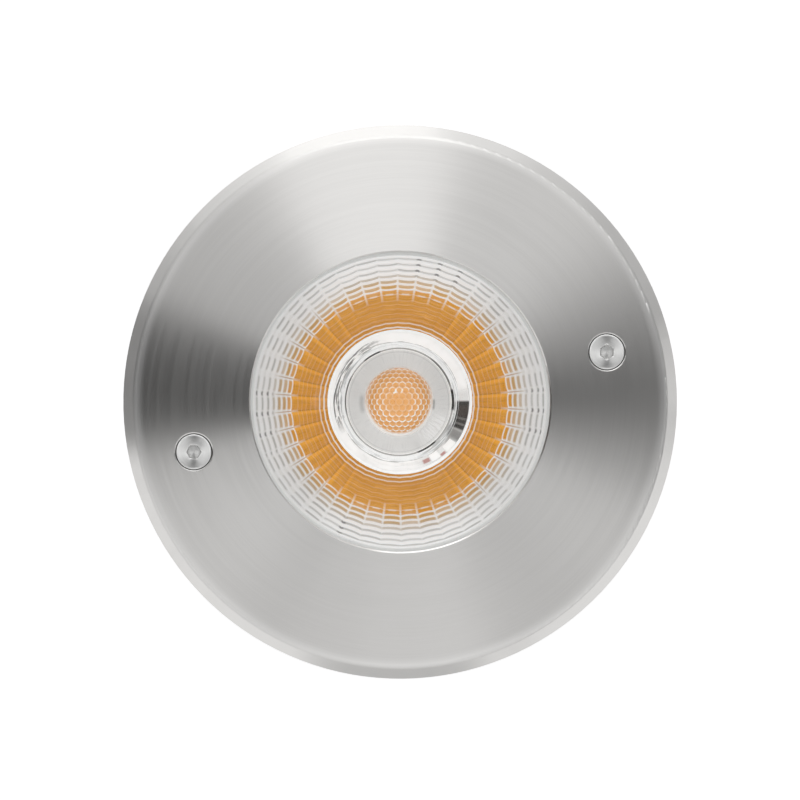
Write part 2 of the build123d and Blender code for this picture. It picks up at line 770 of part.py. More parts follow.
with BuildPart() as control_chip:
    chip_bottom = board_bottom - chip_height
    add_blocks(chip_width, chip_depth, chip_bottom, board_bottom, [on_board(chip_place_shares)])
    chamfer(control_chip.faces().sort_by(Axis.Z)[0].edges(), chip_height / 6)
save(control_chip, "control_chip")

with BuildPart() as surge_varistor:
    varistor_x, varistor_y = on_board(varistor_place_shares)
    varistor_z = board_bottom - varistor_radius
    varistor_origin = (varistor_x - varistor_thickness / 2, varistor_y, varistor_z)
    with BuildSketch(Plane(origin=varistor_origin, x_dir=(0, 1, 0), z_dir=(1, 0, 0))) as varistor_face:
        Circle(varistor_radius)
    extrude(varistor_face.sketch, amount=varistor_thickness)
    fillet(surge_varistor.edges().filter_by(GeomType.CIRCLE), varistor_edge)
save(surge_varistor, "surge_varistor")

with BuildPart() as filter_choke:
    choke_bottom = board_bottom - choke_height
    turn([
        (0, choke_bottom),
        (choke_radius, choke_bottom),
        (choke_radius, choke_bottom + choke_flange),
        (choke_radius - choke_waist, choke_bottom + choke_flange),
        (choke_radius - choke_waist, board_bottom - choke_flange),
        (choke_radius, board_bottom - choke_flange),
        (choke_radius, board_bottom),
        (0, board_bottom),
    ], on_board(choke_place_shares))
save(filter_choke, "filter_choke")

# Terminal block for the supply cores, with its screws reached from below
terminal_place = on_board(terminal_place_shares)
terminal_bottom = board_bottom - terminal_height
terminal_centres = [
    (terminal_place[0], terminal_place[1] + terminal_pitch * (i - (terminal_count - 1) / 2))
    for i in range(terminal_count)
]
terminal_hole_top = terminal_bottom + terminal_screw_depth
with BuildPart() as terminal_block:
    add_blocks(terminal_width, terminal_length, terminal_bottom, board_bottom, [terminal_place])
    terminal_hole = terminal_screw_radius + fit_gap
    add_discs(terminal_hole, terminal_bottom - overrun, terminal_hole_top, terminal_centres, Mode.SUBTRACT)
    entry_x = terminal_place[0] - terminal_width / 2 - overrun
    entry_z = board_bottom - terminal_entry_height
    with BuildSketch(Plane.YZ.offset(entry_x)) as entries:
        with Locations(*[(y, entry_z) for _, y in terminal_centres]):
            Circle(terminal_entry_radius)
    extrude(entries.sketch, amount=terminal_width / 2 + overrun, mode=Mode.SUBTRACT)
save(terminal_block, "terminal_block")

with BuildPart() as terminal_screws:
    add_discs(terminal_screw_radius, terminal_bottom, terminal_hole_top, terminal_centres)
    slot_top = terminal_bottom + terminal_slot
    slot_length = 2 * (terminal_screw_radius + terminal_slot)
    slot_bottom = terminal_bottom - overrun
    add_blocks(slot_length, terminal_slot, slot_bottom, slot_top, terminal_centres, Mode.SUBTRACT)
save(terminal_screws, "terminal_screws")

# Rear cover with its seal in a face groove and four recessed screws
seal_circle = chamber_radius + can_wall / 2
with BuildPart() as rear_cover:
    add_discs(can_radius, rear_bottom, can_bottom)
    add_discs(rear_boss_radius, rear_bottom, can_bottom, rear_screws)
    spigot_radius = chamber_radius - fit_gap
    add_rings(spigot_radius, spigot_radius - spigot_wall, can_bottom, can_bottom + spigot_height)
    with BuildSketch(Plane.XY.offset(can_bottom - 2 * seal_radius)) as groove:
        Circle(seal_circle + seal_groove_width / 2)
        Circle(seal_circle - seal_groove_width / 2, mode=Mode.SUBTRACT)
    extrude(groove.sketch, amount=2 * seal_radius, mode=Mode.SUBTRACT)
    gland_hole_radius = gland_thread_radius + fit_gap
    add_discs(gland_hole_radius, rear_bottom - overrun, can_bottom + overrun, mode=Mode.SUBTRACT)
    rear_sink_radius = rear_head_radius + clamp_window_gap
    rear_sink_top = rear_bottom + rear_head_height
    add_discs(rear_sink_radius, rear_bottom - overrun, rear_sink_top, rear_screws, Mode.SUBTRACT)
    add_discs(rear_hole_radius, rear_bottom, can_bottom + overrun, rear_screws, Mode.SUBTRACT)
save(rear_cover, "rear_cover")

with BuildPart() as rear_seal:
    with BuildSketch(Plane.XZ):
        with Locations((seal_circle, can_bottom - seal_radius)):
            Circle(seal_radius)
    revolve(axis=Axis.Z)
save(rear_seal, "rear_seal")

with BuildPart() as rear_screw_set:
    add_discs(rear_head_radius, rear_bottom, rear_sink_top, rear_screws)
    add_discs(rear_thread_radius, rear_sink_top, rear_screw_top, rear_screws)
    rear_socket_top = rear_bottom + rear_head_height / 2
    add_hexes(rear_socket_flats, rear_bottom - overrun, rear_socket_top, rear_screws, mode=Mode.SUBTRACT)
save(rear_screw_set, "rear_screws")

# Spring clips that steady the lamp unit in the sleeve
tab_top = spring_screw_height - spring_pad_height / 2 + spring_tab
bow_top = tab_top + spring_bow
spring_face = spring_pad_face + spring_thickness
bow_reach = sleeve_bore_radius - running_gap
with BuildPart() as spring_clips:
    for angle in spring_angles:
        along = (cos(radians(angle)), sin(radians(angle)), 0)
        across = (sin(radians(angle)), -cos(radians(angle)), 0)
        with BuildSketch(Plane(origin=(0, 0, 0), x_dir=along, z_dir=across)) as leaf:
            with BuildLine():
                tab_foot = tab_top - spring_tab
                tip_reach = spring_face + spring_end_gap
                bow_middle = (tab_top + bow_top) / 2
                ThreePointArc((spring_face, tab_top), (bow_reach, bow_middle), (tip_reach, bow_top))
                Line((tip_reach, bow_top), (tip_reach - spring_thickness, bow_top))
                ThreePointArc((tip_reach - spring_thickness, bow_top),
                              (bow_reach - spring_thickness, bow_middle),
                              (spring_pad_face, tab_top))
                Polyline((spring_pad_face, tab_top), (spring_pad_face, tab_foot), (spring_face, tab_foot),
                         (spring_face, tab_top))
            make_face()
        extrude(leaf.sketch, amount=spring_width / 2, both=True)
    for angle in spring_angles:
        outward = (cos(radians(angle)), sin(radians(angle)), 0)
        clip_hole_plane = Plane(origin=(0, 0, spring_screw_height), x_dir=(0, 0, 1), z_dir=outward)
        with BuildSketch(clip_hole_plane) as clip_hole:
            Circle(board_thread_radius + fit_gap)
        extrude(clip_hole.sketch, amount=spring_face + overrun, mode=Mode.SUBTRACT)
save(spring_clips, "spring_clips")

with BuildPart() as spring_screws:
    for angle in spring_angles:
        outward = (cos(radians(angle)), sin(radians(angle)), 0)
        floor_reach = spring_pad_face - spring_screw_depth
        for start, end, radius in (
            (floor_reach, spring_face, board_thread_radius),
            (spring_face, spring_face + spring_head_height, spring_head_radius),
        ):
            shank_origin = (start * outward[0], start * outward[1], spring_screw_height)
            with BuildSketch(Plane(origin=shank_origin, x_dir=(0, 0, 1), z_dir=outward)) as shank:
                Circle(radius)
            extrude(shank.sketch, amount=end - start)
        socket_start = spring_face + spring_head_height / 2
        socket_origin = (socket_start * outward[0], socket_start * outward[1], spring_screw_height)
        with BuildSketch(Plane(origin=socket_origin, x_dir=(0, 0, 1), z_dir=outward)) as clip_socket:
            RegularPolygon(board_thread_radius / 2, 6, major_radius=False)
        extrude(clip_socket.sketch, amount=spring_head_height, mode=Mode.SUBTRACT)
save(spring_screws, "spring_screws")

# Cable gland: body, washer and locknut on the rear cover, and the nut that squeezes the seal
gland_top = gland_hex_top + gland_inner_thread
seal_outer = cable_radius + seal_wall
seal_top = gland_hex_bottom - seal_end_gap
with BuildPart() as gland_body:
    add_discs(gland_thread_radius, gland_bottom, gland_top)
    add_hexes(gland_flats, gland_hex_bottom, gland_hex_top)
    add_discs(gland_bore_radius, gland_bottom - overrun, gland_top + overrun, mode=Mode.SUBTRACT)
    add_discs(seal_outer + running_gap, gland_bottom - overrun, gland_hex_bottom, mode=Mode.SUBTRACT)
save(gland_body, "gland_body")

with BuildPart() as gland_washer:
    add_rings(gland_washer_radius, gland_thread_radius + fit_gap, gland_hex_top, rear_bottom)
save(gland_washer, "gland_washer")

with BuildPart() as gland_locknut:
    add_hexes(locknut_flats, can_bottom, can_bottom + locknut_height)
    add_discs(gland_hole_radius, can_bottom - overrun, can_bottom + locknut_height + overrun,
              mode=Mode.SUBTRACT)
save(gland_locknut, "gland_locknut")

with BuildPart() as gland_seal:
    seal_flange_top = seal_bottom + seal_flange_thickness
    turn([
        (cable_radius, seal_bottom),
        (seal_flange_radius, seal_bottom),
        (seal_flange_radius, seal_flange_top),
        (seal_outer, seal_flange_top),
        (seal_outer, seal_top),
        (cable_radius, seal_top),
    ])
save(gland_seal, "gland_seal")

nut_top = gland_hex_bottom - nut_gap
with BuildPart() as gland_nut:
    add_hexes(gland_flats, nut_bottom, nut_top)
    chamfer(gland_nut.faces().sort_by(Axis.Z)[0].edges(), nut_edge)
    nut_bore = gland_thread_radius + thread_gap
    add_discs(nut_bore, seal_bottom, nut_top + overrun, mode=Mode.SUBTRACT)
    add_discs(nut_mouth_radius, nut_bottom - overrun, seal_bottom + overrun, mode=Mode.SUBTRACT)
save(gland_nut, "gland_nut")
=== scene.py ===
"""Blender scene of the well light: its finishes, its optic and fasteners, the studio and the camera."""

import logging
import math
from dataclasses import dataclass, field
from enum import Enum
from typing import Iterable, Optional, Sequence, Union

import bpy
import numpy as np
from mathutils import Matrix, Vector


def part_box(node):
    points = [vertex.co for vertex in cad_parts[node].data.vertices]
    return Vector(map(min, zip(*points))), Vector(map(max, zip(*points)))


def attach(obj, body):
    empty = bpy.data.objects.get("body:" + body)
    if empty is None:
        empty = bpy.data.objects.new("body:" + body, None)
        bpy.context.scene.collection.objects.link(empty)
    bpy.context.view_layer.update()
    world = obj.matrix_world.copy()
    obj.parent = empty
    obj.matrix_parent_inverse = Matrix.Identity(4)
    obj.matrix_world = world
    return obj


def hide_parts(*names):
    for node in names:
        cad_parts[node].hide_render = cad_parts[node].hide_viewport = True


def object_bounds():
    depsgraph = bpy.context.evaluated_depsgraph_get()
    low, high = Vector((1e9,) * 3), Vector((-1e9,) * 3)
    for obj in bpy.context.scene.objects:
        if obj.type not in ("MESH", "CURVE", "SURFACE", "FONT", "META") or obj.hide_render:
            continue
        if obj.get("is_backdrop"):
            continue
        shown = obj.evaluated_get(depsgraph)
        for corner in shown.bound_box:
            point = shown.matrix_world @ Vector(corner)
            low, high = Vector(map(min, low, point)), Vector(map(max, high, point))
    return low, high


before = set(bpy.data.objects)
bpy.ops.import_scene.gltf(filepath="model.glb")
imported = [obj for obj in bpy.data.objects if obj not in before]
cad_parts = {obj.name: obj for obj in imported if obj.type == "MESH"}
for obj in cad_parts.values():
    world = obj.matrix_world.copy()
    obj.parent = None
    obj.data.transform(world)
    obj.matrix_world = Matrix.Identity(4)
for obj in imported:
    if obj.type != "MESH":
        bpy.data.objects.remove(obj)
CAD_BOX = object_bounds()

LOG = logging.getLogger("well_light")
MM = 0.001
TO_DEGREES = 180 / math.pi
TO_RADIANS = math.pi / 180
VIEW_TURN = 13.6
COVER_TOP = 118.3
SCREW_REACH = 43.7
ALL_ROUND = 400.0

Colour = tuple[float, float, float]
Span = tuple[float, float]
Ramp = tuple[float, ...]
Link = bpy.types.NodeSocket
Value = Union[float, Link]


class Blend(Enum):
    """How two colours are mixed."""

    PLAIN = "MIX"
    MULTIPLY = "MULTIPLY"


class Side(Enum):
    """The side of the cover that a screw is on."""

    LEFT = "left"
    RIGHT = "right"

    def reach(self) -> float:
        """Returns the screw's place along X in mm."""
        return -SCREW_REACH if self is Side.LEFT else SCREW_REACH


def grey(level: float) -> Colour:
    """Returns a plain grey."""
    return (level, level, level)


class Wiring:
    """Adds nodes to one node tree and links them. A ramp is low, high and what each of them gives."""

    def __init__(self, tree: bpy.types.NodeTree) -> None:
        """Takes the tree to work in.

        Args:
            tree: a material's, a world's or a group's node tree.
        """
        self.tree = tree

    def add(self, kind: str, values: Optional[dict] = None, **settings: object) -> bpy.types.Node:
        """Adds one node.

        Args:
            kind: the node's type name.
            values: input name or index, with a number, a colour or a socket to link.
            settings: properties of the node itself.
        Returns:
            The new node.
        """
        node = self.tree.nodes.new(kind)
        for name, setting in settings.items():
            setattr(node, name, setting)
        self.settle(node, values or {})
        return node

    def settle(self, node: bpy.types.Node, values: dict) -> None:
        """Feeds several inputs of a node, by name or index."""
        for key, value in values.items():
            self.feed(node.inputs[key], value)

    def feed(self, socket: Link, value: object) -> None:
        """Links a socket or sets its value.

        Args:
            socket: the input to feed.
            value: a socket to link, or a number, colour or vector to set.
        """
        if isinstance(value, bpy.types.NodeSocket):
            self.tree.links.new(value, socket)
        elif isinstance(value, tuple) and socket.type == "RGBA":
            socket.default_value = (*value[:3], 1.0)
        else:
            socket.default_value = value

    def math(self, operation: str, *values: Value, clamp: bool = False) -> Link:
        """Returns the output of a math node with these inputs."""
        return self.add("ShaderNodeMath", dict(enumerate(values)), operation=operation, use_clamp=clamp).outputs[0]

    def times(self, *values: Value) -> Value:
        """Returns the product of the values, multiplied in their order."""
        product = values[0]
        for value in values[1:]:
            product = self.math("MULTIPLY", product, value)
        return product

    def mix(self, share: Value, first: object, second: object, blend: Blend = Blend.PLAIN) -> Link:
        """Mixes two colours.

        Args:
            share: how much of the second colour shows.
            first: the colour at share 0.
            second: the colour at share 1.
            blend: how they are mixed.
        Returns:
            The mixed colour's socket.
        """
        node = self.add("ShaderNodeMix", data_type="RGBA", blend_type=blend.value)
        self.settle(node, {0: share, 6: first, 7: second})
        return node.outputs[2]

    def paint(self, colour: object, tint: object, *masks: Value) -> Link:
        """Returns a colour with a tint over it where all the masks are open."""
        return self.mix(self.times(*masks), colour, tint)

    def between(self, value: Value, low: float, high: float, to_low: Value = 0.0, to_high: Value = 1.0) -> Link:
        """Maps a value smoothly from one range to another.

        Args:
            value: what is mapped.
            low: the value that gives to_low.
            high: the value that gives to_high.
            to_low: the result at low.
            to_high: the result at high.
        Returns:
            The mapped value's socket.
        """
        values = {0: value, 1: low, 2: high, 3: to_low, 4: to_high}
        return self.add("ShaderNodeMapRange", values, interpolation_type="SMOOTHSTEP").outputs[0]

    def fall(self, value: Value, low: float, high: float) -> Link:
        """Returns 1 below a range and 0 above it."""
        return self.between(value, low, high, 1.0, 0.0)

    def ease(self, share: Value, none: Value, full: Value) -> Link:
        """Returns none where a share is 0, full where it is 1, and a smooth way between."""
        return self.between(share, 0.0, 1.0, none, full)

    def noise(self, vector: Link, detail: float = 2.0, scale: Value = 1.0, rough: float = 0.5) -> Link:
        """Returns noise read at a vector."""
        values = {"Vector": vector, "Scale": scale, "Detail": detail, "Roughness": rough}
        return self.add("ShaderNodeTexNoise", values).outputs[0]

    def grey(self, value: Value) -> Link:
        """Returns a grey of this value."""
        return self.add("ShaderNodeCombineColor", {0: value, 1: value, 2: value}).outputs[0]

    def place(self) -> Link:
        """Returns the object's own coordinates."""
        return self.add("ShaderNodeTexCoord").outputs["Object"]

    def cells(self) -> tuple:
        """Returns the two values of the UV map that the optic's pieces carry."""
        return self.split(self.add("ShaderNodeUVMap", uv_map="cells").outputs[0])[:2]

    def facing(self) -> Link:
        """Returns 0 where a face looks at the eye and 1 where it is seen edge-on."""
        return self.add("ShaderNodeLayerWeight", {"Blend": 0.5}).outputs["Facing"]

    def seen(self) -> Link:
        """Returns 1 to the camera, metal and glass, and 0 to soft light."""
        path = self.add("ShaderNodeLightPath").outputs
        mirrored = self.math("MAXIMUM", path["Is Glossy Ray"], path["Is Transmission Ray"])
        return self.math("MAXIMUM", path["Is Camera Ray"], mirrored)

    def split(self, vector: Link) -> tuple:
        """Returns the x, y and z sockets of a vector."""
        return tuple(self.add("ShaderNodeSeparateXYZ", {0: vector}).outputs)

    def length(self, x: Value, y: Value) -> Link:
        """Returns the length of a flat vector."""
        return self.math("SQRT", self.math("ADD", self.times(x, x), self.times(y, y)))

    def around(self, vector: Link) -> tuple:
        """Works out polar coordinates about the light's own axis.

        Args:
            vector: a place or a direction.
        Returns:
            Sockets of the distance from the axis, the photograph's azimuth in degrees and the height.
        """
        x, y, z = self.split(vector)
        degrees = self.times(self.math("ARCTAN2", y, x), TO_DEGREES)
        return self.length(x, y), self.math("ADD", degrees, VIEW_TURN), z

    def stretch(self, first: Value, second: Value, by_first: float, by_second: float) -> Link:
        """Returns a vector of two values, each multiplied by its own factor."""
        parts = {0: self.times(first, by_first), 1: self.times(second, by_second)}
        return self.add("ShaderNodeCombineXYZ", parts).outputs[0]

    def arc(self, azimuth: Value, centre: float, half: float, soft: float) -> Link:
        """Masks a sector.

        Args:
            azimuth: the azimuth in degrees.
            centre: the sector's middle, in degrees.
            half: half its width, at the middle of its soft edge.
            soft: the edge's width.
        Returns:
            A mask of 1 inside and 0 outside.
        """
        turned = self.math("WRAP", self.math("SUBTRACT", azimuth, centre), 180.0, -180.0)
        return self.fall(self.math("ABSOLUTE", turned), half - soft / 2, half + soft / 2)

    def band(self, value: Value, low: float, high: float, soft: float) -> Link:
        """Masks a range of a value, with soft ends.

        Args:
            value: what is masked.
            low: the range's lower end.
            high: its upper end.
            soft: the width of each end.
        Returns:
            A mask of 1 inside and 0 outside.
        """
        rise = self.between(value, low - soft / 2, low + soft / 2)
        return self.times(rise, self.fall(value, high - soft / 2, high + soft / 2))

    def bump(self, height: Link, depth: float, strength: float = 1.0, under: Optional[Link] = None) -> Link:
        """Turns heights into normals.

        Args:
            height: the heights, from 0 to 1.
            depth: how far a height of 1 stands out, in metres.
            strength: how much of the bump shows.
            under: normals that it is added to.
        Returns:
            The normals' socket.
        """
        values = {"Strength": strength, "Distance": depth, "Height": height}
        if under is not None:
            values["Normal"] = under
        return self.add("ShaderNodeBump", values).outputs[0]

    def glow(self, shader: bpy.types.Node, colour: Link, strength: float) -> None:
        """Gives a shader a colour and a faint light of the same colour."""
        self.settle(shader, {"Base Color": colour, "Emission Color": colour, "Emission Strength": strength})

    def merge(self, share: Value, first: bpy.types.Node, second: bpy.types.Node) -> bpy.types.Node:
        """Returns a mix of two shaders."""
        return self.add("ShaderNodeMixShader", {0: share, 1: first.outputs[0], 2: second.outputs[0]})

    def surface(self, shader: bpy.types.Node, output: str = "Material Output") -> None:
        """Makes a shader the tree's surface."""
        self.feed(self.tree.nodes[output].inputs["Surface"], shader.outputs[0])


@dataclass(frozen=True)
class Socket:
    """A named number that goes into a shader group, with its usual value."""

    name: str
    usual: float = 0.0


class Effect:
    """A shader node group that several materials use."""

    title = ""
    takes: tuple[Socket, ...] = ()
    gives: tuple[str, ...] = ()
    built: dict[str, bpy.types.NodeTree] = {}

    def wire(self, wiring: Wiring, given: dict[str, Link]) -> dict[str, Link]:
        """Makes the effect's nodes.

        Args:
            wiring: the group's wiring.
            given: the group's inputs by name.
        Returns:
            The group's outputs by name.
        """
        raise NotImplementedError

    def tree(self) -> bpy.types.NodeTree:
        """Returns the group's tree, made on its first use."""
        if self.title in Effect.built:
            return Effect.built[self.title]
        tree = bpy.data.node_groups.new(self.title, "ShaderNodeTree")
        for socket in self.takes:
            made = tree.interface.new_socket(socket.name, in_out="INPUT", socket_type="NodeSocketFloat")
            made.default_value = socket.usual
        for name in self.gives:
            tree.interface.new_socket(name, in_out="OUTPUT", socket_type="NodeSocketFloat")
        wiring = Wiring(tree)
        entry = wiring.add("NodeGroupInput")
        results = self.wire(wiring, {socket.name: entry.outputs[socket.name] for socket in self.takes})
        wiring.add("NodeGroupOutput", results)
        Effect.built[self.title] = tree
        return tree

    def put(self, wiring: Wiring, **values: Value) -> dict[str, Link]:
        """Places the group in a material.

        Args:
            wiring: the material's wiring.
            values: the group's inputs, by name with underscores for spaces.
        Returns:
            The outputs by name.
        """
        node = wiring.add("ShaderNodeGroup", node_tree=self.tree())
        wiring.settle(node, {key.replace("_", " "): value for key, value in values.items()})
        return {name: node.outputs[name] for name in self.gives}


class Mottling(Effect):
    """Soft cloudy variation over a surface."""

    title = "mottling"
    takes = (Socket("Size", 0.01), Socket("Contrast", 1.0))
    gives = ("Value",)

    def wire(self, wiring: Wiring, given: dict) -> dict:
        """Makes noise of a set size with a set contrast, about one half."""
        noise = wiring.noise(wiring.place(), 3.0, wiring.math("DIVIDE", 1.0, given["Size"]))
        off = wiring.math("SUBTRACT", noise, 0.5)
        return {"Value": wiring.math("MULTIPLY_ADD", off, given["Contrast"], 0.5, clamp=True)}


class FineGrain(Effect):
    """The fine grain of a moulded, cast or printed skin."""

    title = "fine_grain"
    takes = (Socket("Size", 0.0005), Socket("Cells", 0.0))
    gives = ("Height", "Value")

    def wire(self, wiring: Wiring, given: dict) -> dict:
        """Mixes fine noise and rounded cells as Cells says."""
        scale = wiring.math("DIVIDE", 1.0, given["Size"])
        place = wiring.place()
        noise = wiring.noise(place, 2.0, scale)
        cells = wiring.add("ShaderNodeTexVoronoi", {"Vector": place, "Scale": scale}, feature="SMOOTH_F1")
        off = wiring.math("SUBTRACT", cells.outputs["Distance"], noise)
        return {"Height": wiring.math("MULTIPLY_ADD", off, given["Cells"], noise), "Value": noise}


class TurnedLines(Effect):
    """Fine concentric lines, as a lathe or a brush leaves them round an axis."""

    title = "turned_lines"
    takes = (Socket("Centre X"), Socket("Centre Y"), Socket("Pitch", 0.0004), Socket("Breaks", 4.0))
    gives = ("Height", "Value")
    fine_share = 0.55
    broad_scale = 0.23

    def wire(self, wiring: Wiring, given: dict) -> dict:
        """Makes noise that is stretched round the axis."""
        x, y, z = wiring.split(wiring.place())
        x = wiring.math("SUBTRACT", x, given["Centre X"])
        y = wiring.math("SUBTRACT", y, given["Centre Y"])
        reach = wiring.length(x, y)
        across = wiring.math("DIVIDE", wiring.math("ADD", reach, z), given["Pitch"])
        east, north = (wiring.times(wiring.math("DIVIDE", way, reach), given["Breaks"]) for way in (x, y))
        vector = wiring.add("ShaderNodeCombineXYZ", {0: across, 1: east, 2: north}).outputs[0]
        fine = wiring.noise(vector, 3.0, 1.0, 0.6)
        broad = wiring.noise(vector, 1.0, self.broad_scale)
        value = wiring.math("MULTIPLY_ADD", broad, 1 - self.fine_share, wiring.times(fine, self.fine_share))
        return {"Height": fine, "Value": value}


class EdgeWear(Effect):
    """Where edges and corners are rubbed."""

    title = "edge_wear"
    takes = (Socket("Amount", 0.5),)
    gives = ("Mask",)
    edge: Span = (0.52, 0.62)
    patches: Span = (0.35, 0.65)
    patch_scale = 420.0

    def wire(self, wiring: Wiring, given: dict) -> dict:
        """Finds outer edges and breaks them up with noise."""
        edge = wiring.between(wiring.add("ShaderNodeNewGeometry").outputs["Pointiness"], *self.edge)
        patchy = wiring.between(wiring.noise(wiring.place(), 4.0, self.patch_scale), *self.patches)
        return {"Mask": wiring.times(edge, patchy, given["Amount"])}


class Dust(Effect):
    """A thin veil of dust on faces that look up."""

    title = "dust"
    takes = (Socket("Amount", 0.3),)
    gives = ("Mask",)
    upward: Span = (0.2, 0.9)
    patches: Span = (0.35, 0.75)
    patch_scale = 90.0

    def wire(self, wiring: Wiring, given: dict) -> dict:
        """Masks upward faces with patchy noise."""
        up = wiring.split(wiring.add("ShaderNodeNewGeometry").outputs["Normal"])[2]
        patchy = wiring.between(wiring.noise(wiring.place(), 5.0, self.patch_scale), *self.patches)
        return {"Mask": wiring.times(patchy, given["Amount"], wiring.between(up, *self.upward))}


def new_material(name: str) -> tuple[bpy.types.Material, Wiring, bpy.types.Node]:
    """Starts a material.

    Args:
        name: the material's name.
    Returns:
        The material, its wiring and its Principled BSDF.
    """
    material = bpy.data.materials.new(name)
    material.use_nodes = True
    return material, Wiring(material.node_tree), material.node_tree.nodes["Principled BSDF"]


@dataclass(frozen=True)
class Finish:
    """A finish with two mottled tones, grain, rubbed edges and dust, and a painted glow where one is set. Sizes are in
    mm.
    """

    name: str
    colour: Colour
    second: Colour
    rough: Span = (0.4, 0.6)
    metallic: float = 0.0
    mottle: float = 8.0
    grain: float = 0.35
    cells: float = 0.0
    depth: float = 0.02
    wear: float = 0.25
    worn: Colour = grey(0.5)
    dust: float = 0.1
    coat: float = 0.0
    sheen: float = 0.0
    anisotropy: float = 0.0
    subsurface: float = 0.0
    painted_glow: float = 0.0
    contrast: float = 1.6
    cloud_share: float = 0.75
    speck: Span = (0.3, 0.7)
    tones: Span = (0.2, 0.8)
    dust_colour: Colour = (0.55, 0.53, 0.5)
    dust_rough: float = 0.3

    def build(self) -> bpy.types.Material:
        """Returns the finish as a material."""
        material, wiring, shader = new_material(self.name)
        cloud = Mottling().put(wiring, Size=self.mottle * MM, Contrast=self.contrast)["Value"]
        grain = FineGrain().put(wiring, Size=self.grain * MM, Cells=self.cells)
        worn = EdgeWear().put(wiring, Amount=self.wear)["Mask"]
        dust = Dust().put(wiring, Amount=self.dust)["Mask"]
        speck = wiring.times(wiring.between(grain["Value"], *self.speck), 1 - self.cloud_share)
        tone = wiring.math("ADD", wiring.times(cloud, self.cloud_share), speck)
        colour = wiring.mix(tone, self.colour, self.second)
        colour = wiring.mix(worn, colour, self.worn)
        colour = self.markings(wiring, wiring.mix(dust, colour, self.dust_colour))
        rough = wiring.between(tone, *self.tones, *self.rough)
        values = {
            "Base Color": colour,
            "Roughness": wiring.math("MULTIPLY_ADD", dust, self.dust_rough, rough, clamp=True),
            "Normal": wiring.bump(self.relief(wiring, grain["Height"]), self.depth * MM),
            "Metallic": self.metallic,
            "Coat Weight": self.coat,
            "Sheen Weight": self.sheen,
            "Anisotropic": self.anisotropy,
            "Subsurface Weight": self.subsurface,
        }
        wiring.settle(shader, values)
        # Painted glow: a faint light of the surface's own colour, though it is no lamp.
        if self.painted_glow:
            wiring.glow(shader, colour, self.painted_glow)
        return material

    def markings(self, wiring: Wiring, colour: Link) -> Link:
        """Returns the colour with this finish's own markings, which are none."""
        return colour

    def relief(self, wiring: Wiring, height: Link) -> Link:
        """Returns the height with this finish's own relief, which is none."""
        return height


@dataclass(frozen=True)
class TurnedMetal(Finish):
    """A metal turned about an axis, with concentric lines."""

    centre: Span = (0.0, 0.0)
    pitch: float = 0.3
    breaks: float = 3.0
    line_depth: float = 0.6
    streak: float = 0.12
    streaks: Span = (0.35, 0.65)
    streak_colour: Colour = grey(0.3)

    def lines(self, wiring: Wiring) -> dict:
        """Returns the turned lines' outputs."""
        x, y = self.centre
        return TurnedLines().put(
            wiring, Centre_X=x * MM, Centre_Y=y * MM, Pitch=self.pitch * MM, Breaks=self.breaks
        )

    def markings(self, wiring: Wiring, colour: Link) -> Link:
        """Returns the colour streaked along the turned lines."""
        share = wiring.between(self.lines(wiring)["Value"], *self.streaks, 0.0, self.streak)
        return wiring.mix(share, colour, self.streak_colour, Blend.MULTIPLY)

    def relief(self, wiring: Wiring, height: Link) -> Link:
        """Returns the grain mixed with the turned lines."""
        rest = wiring.times(height, 1 - self.line_depth)
        return wiring.math("MULTIPLY_ADD", self.lines(wiring)["Height"], self.line_depth, rest)


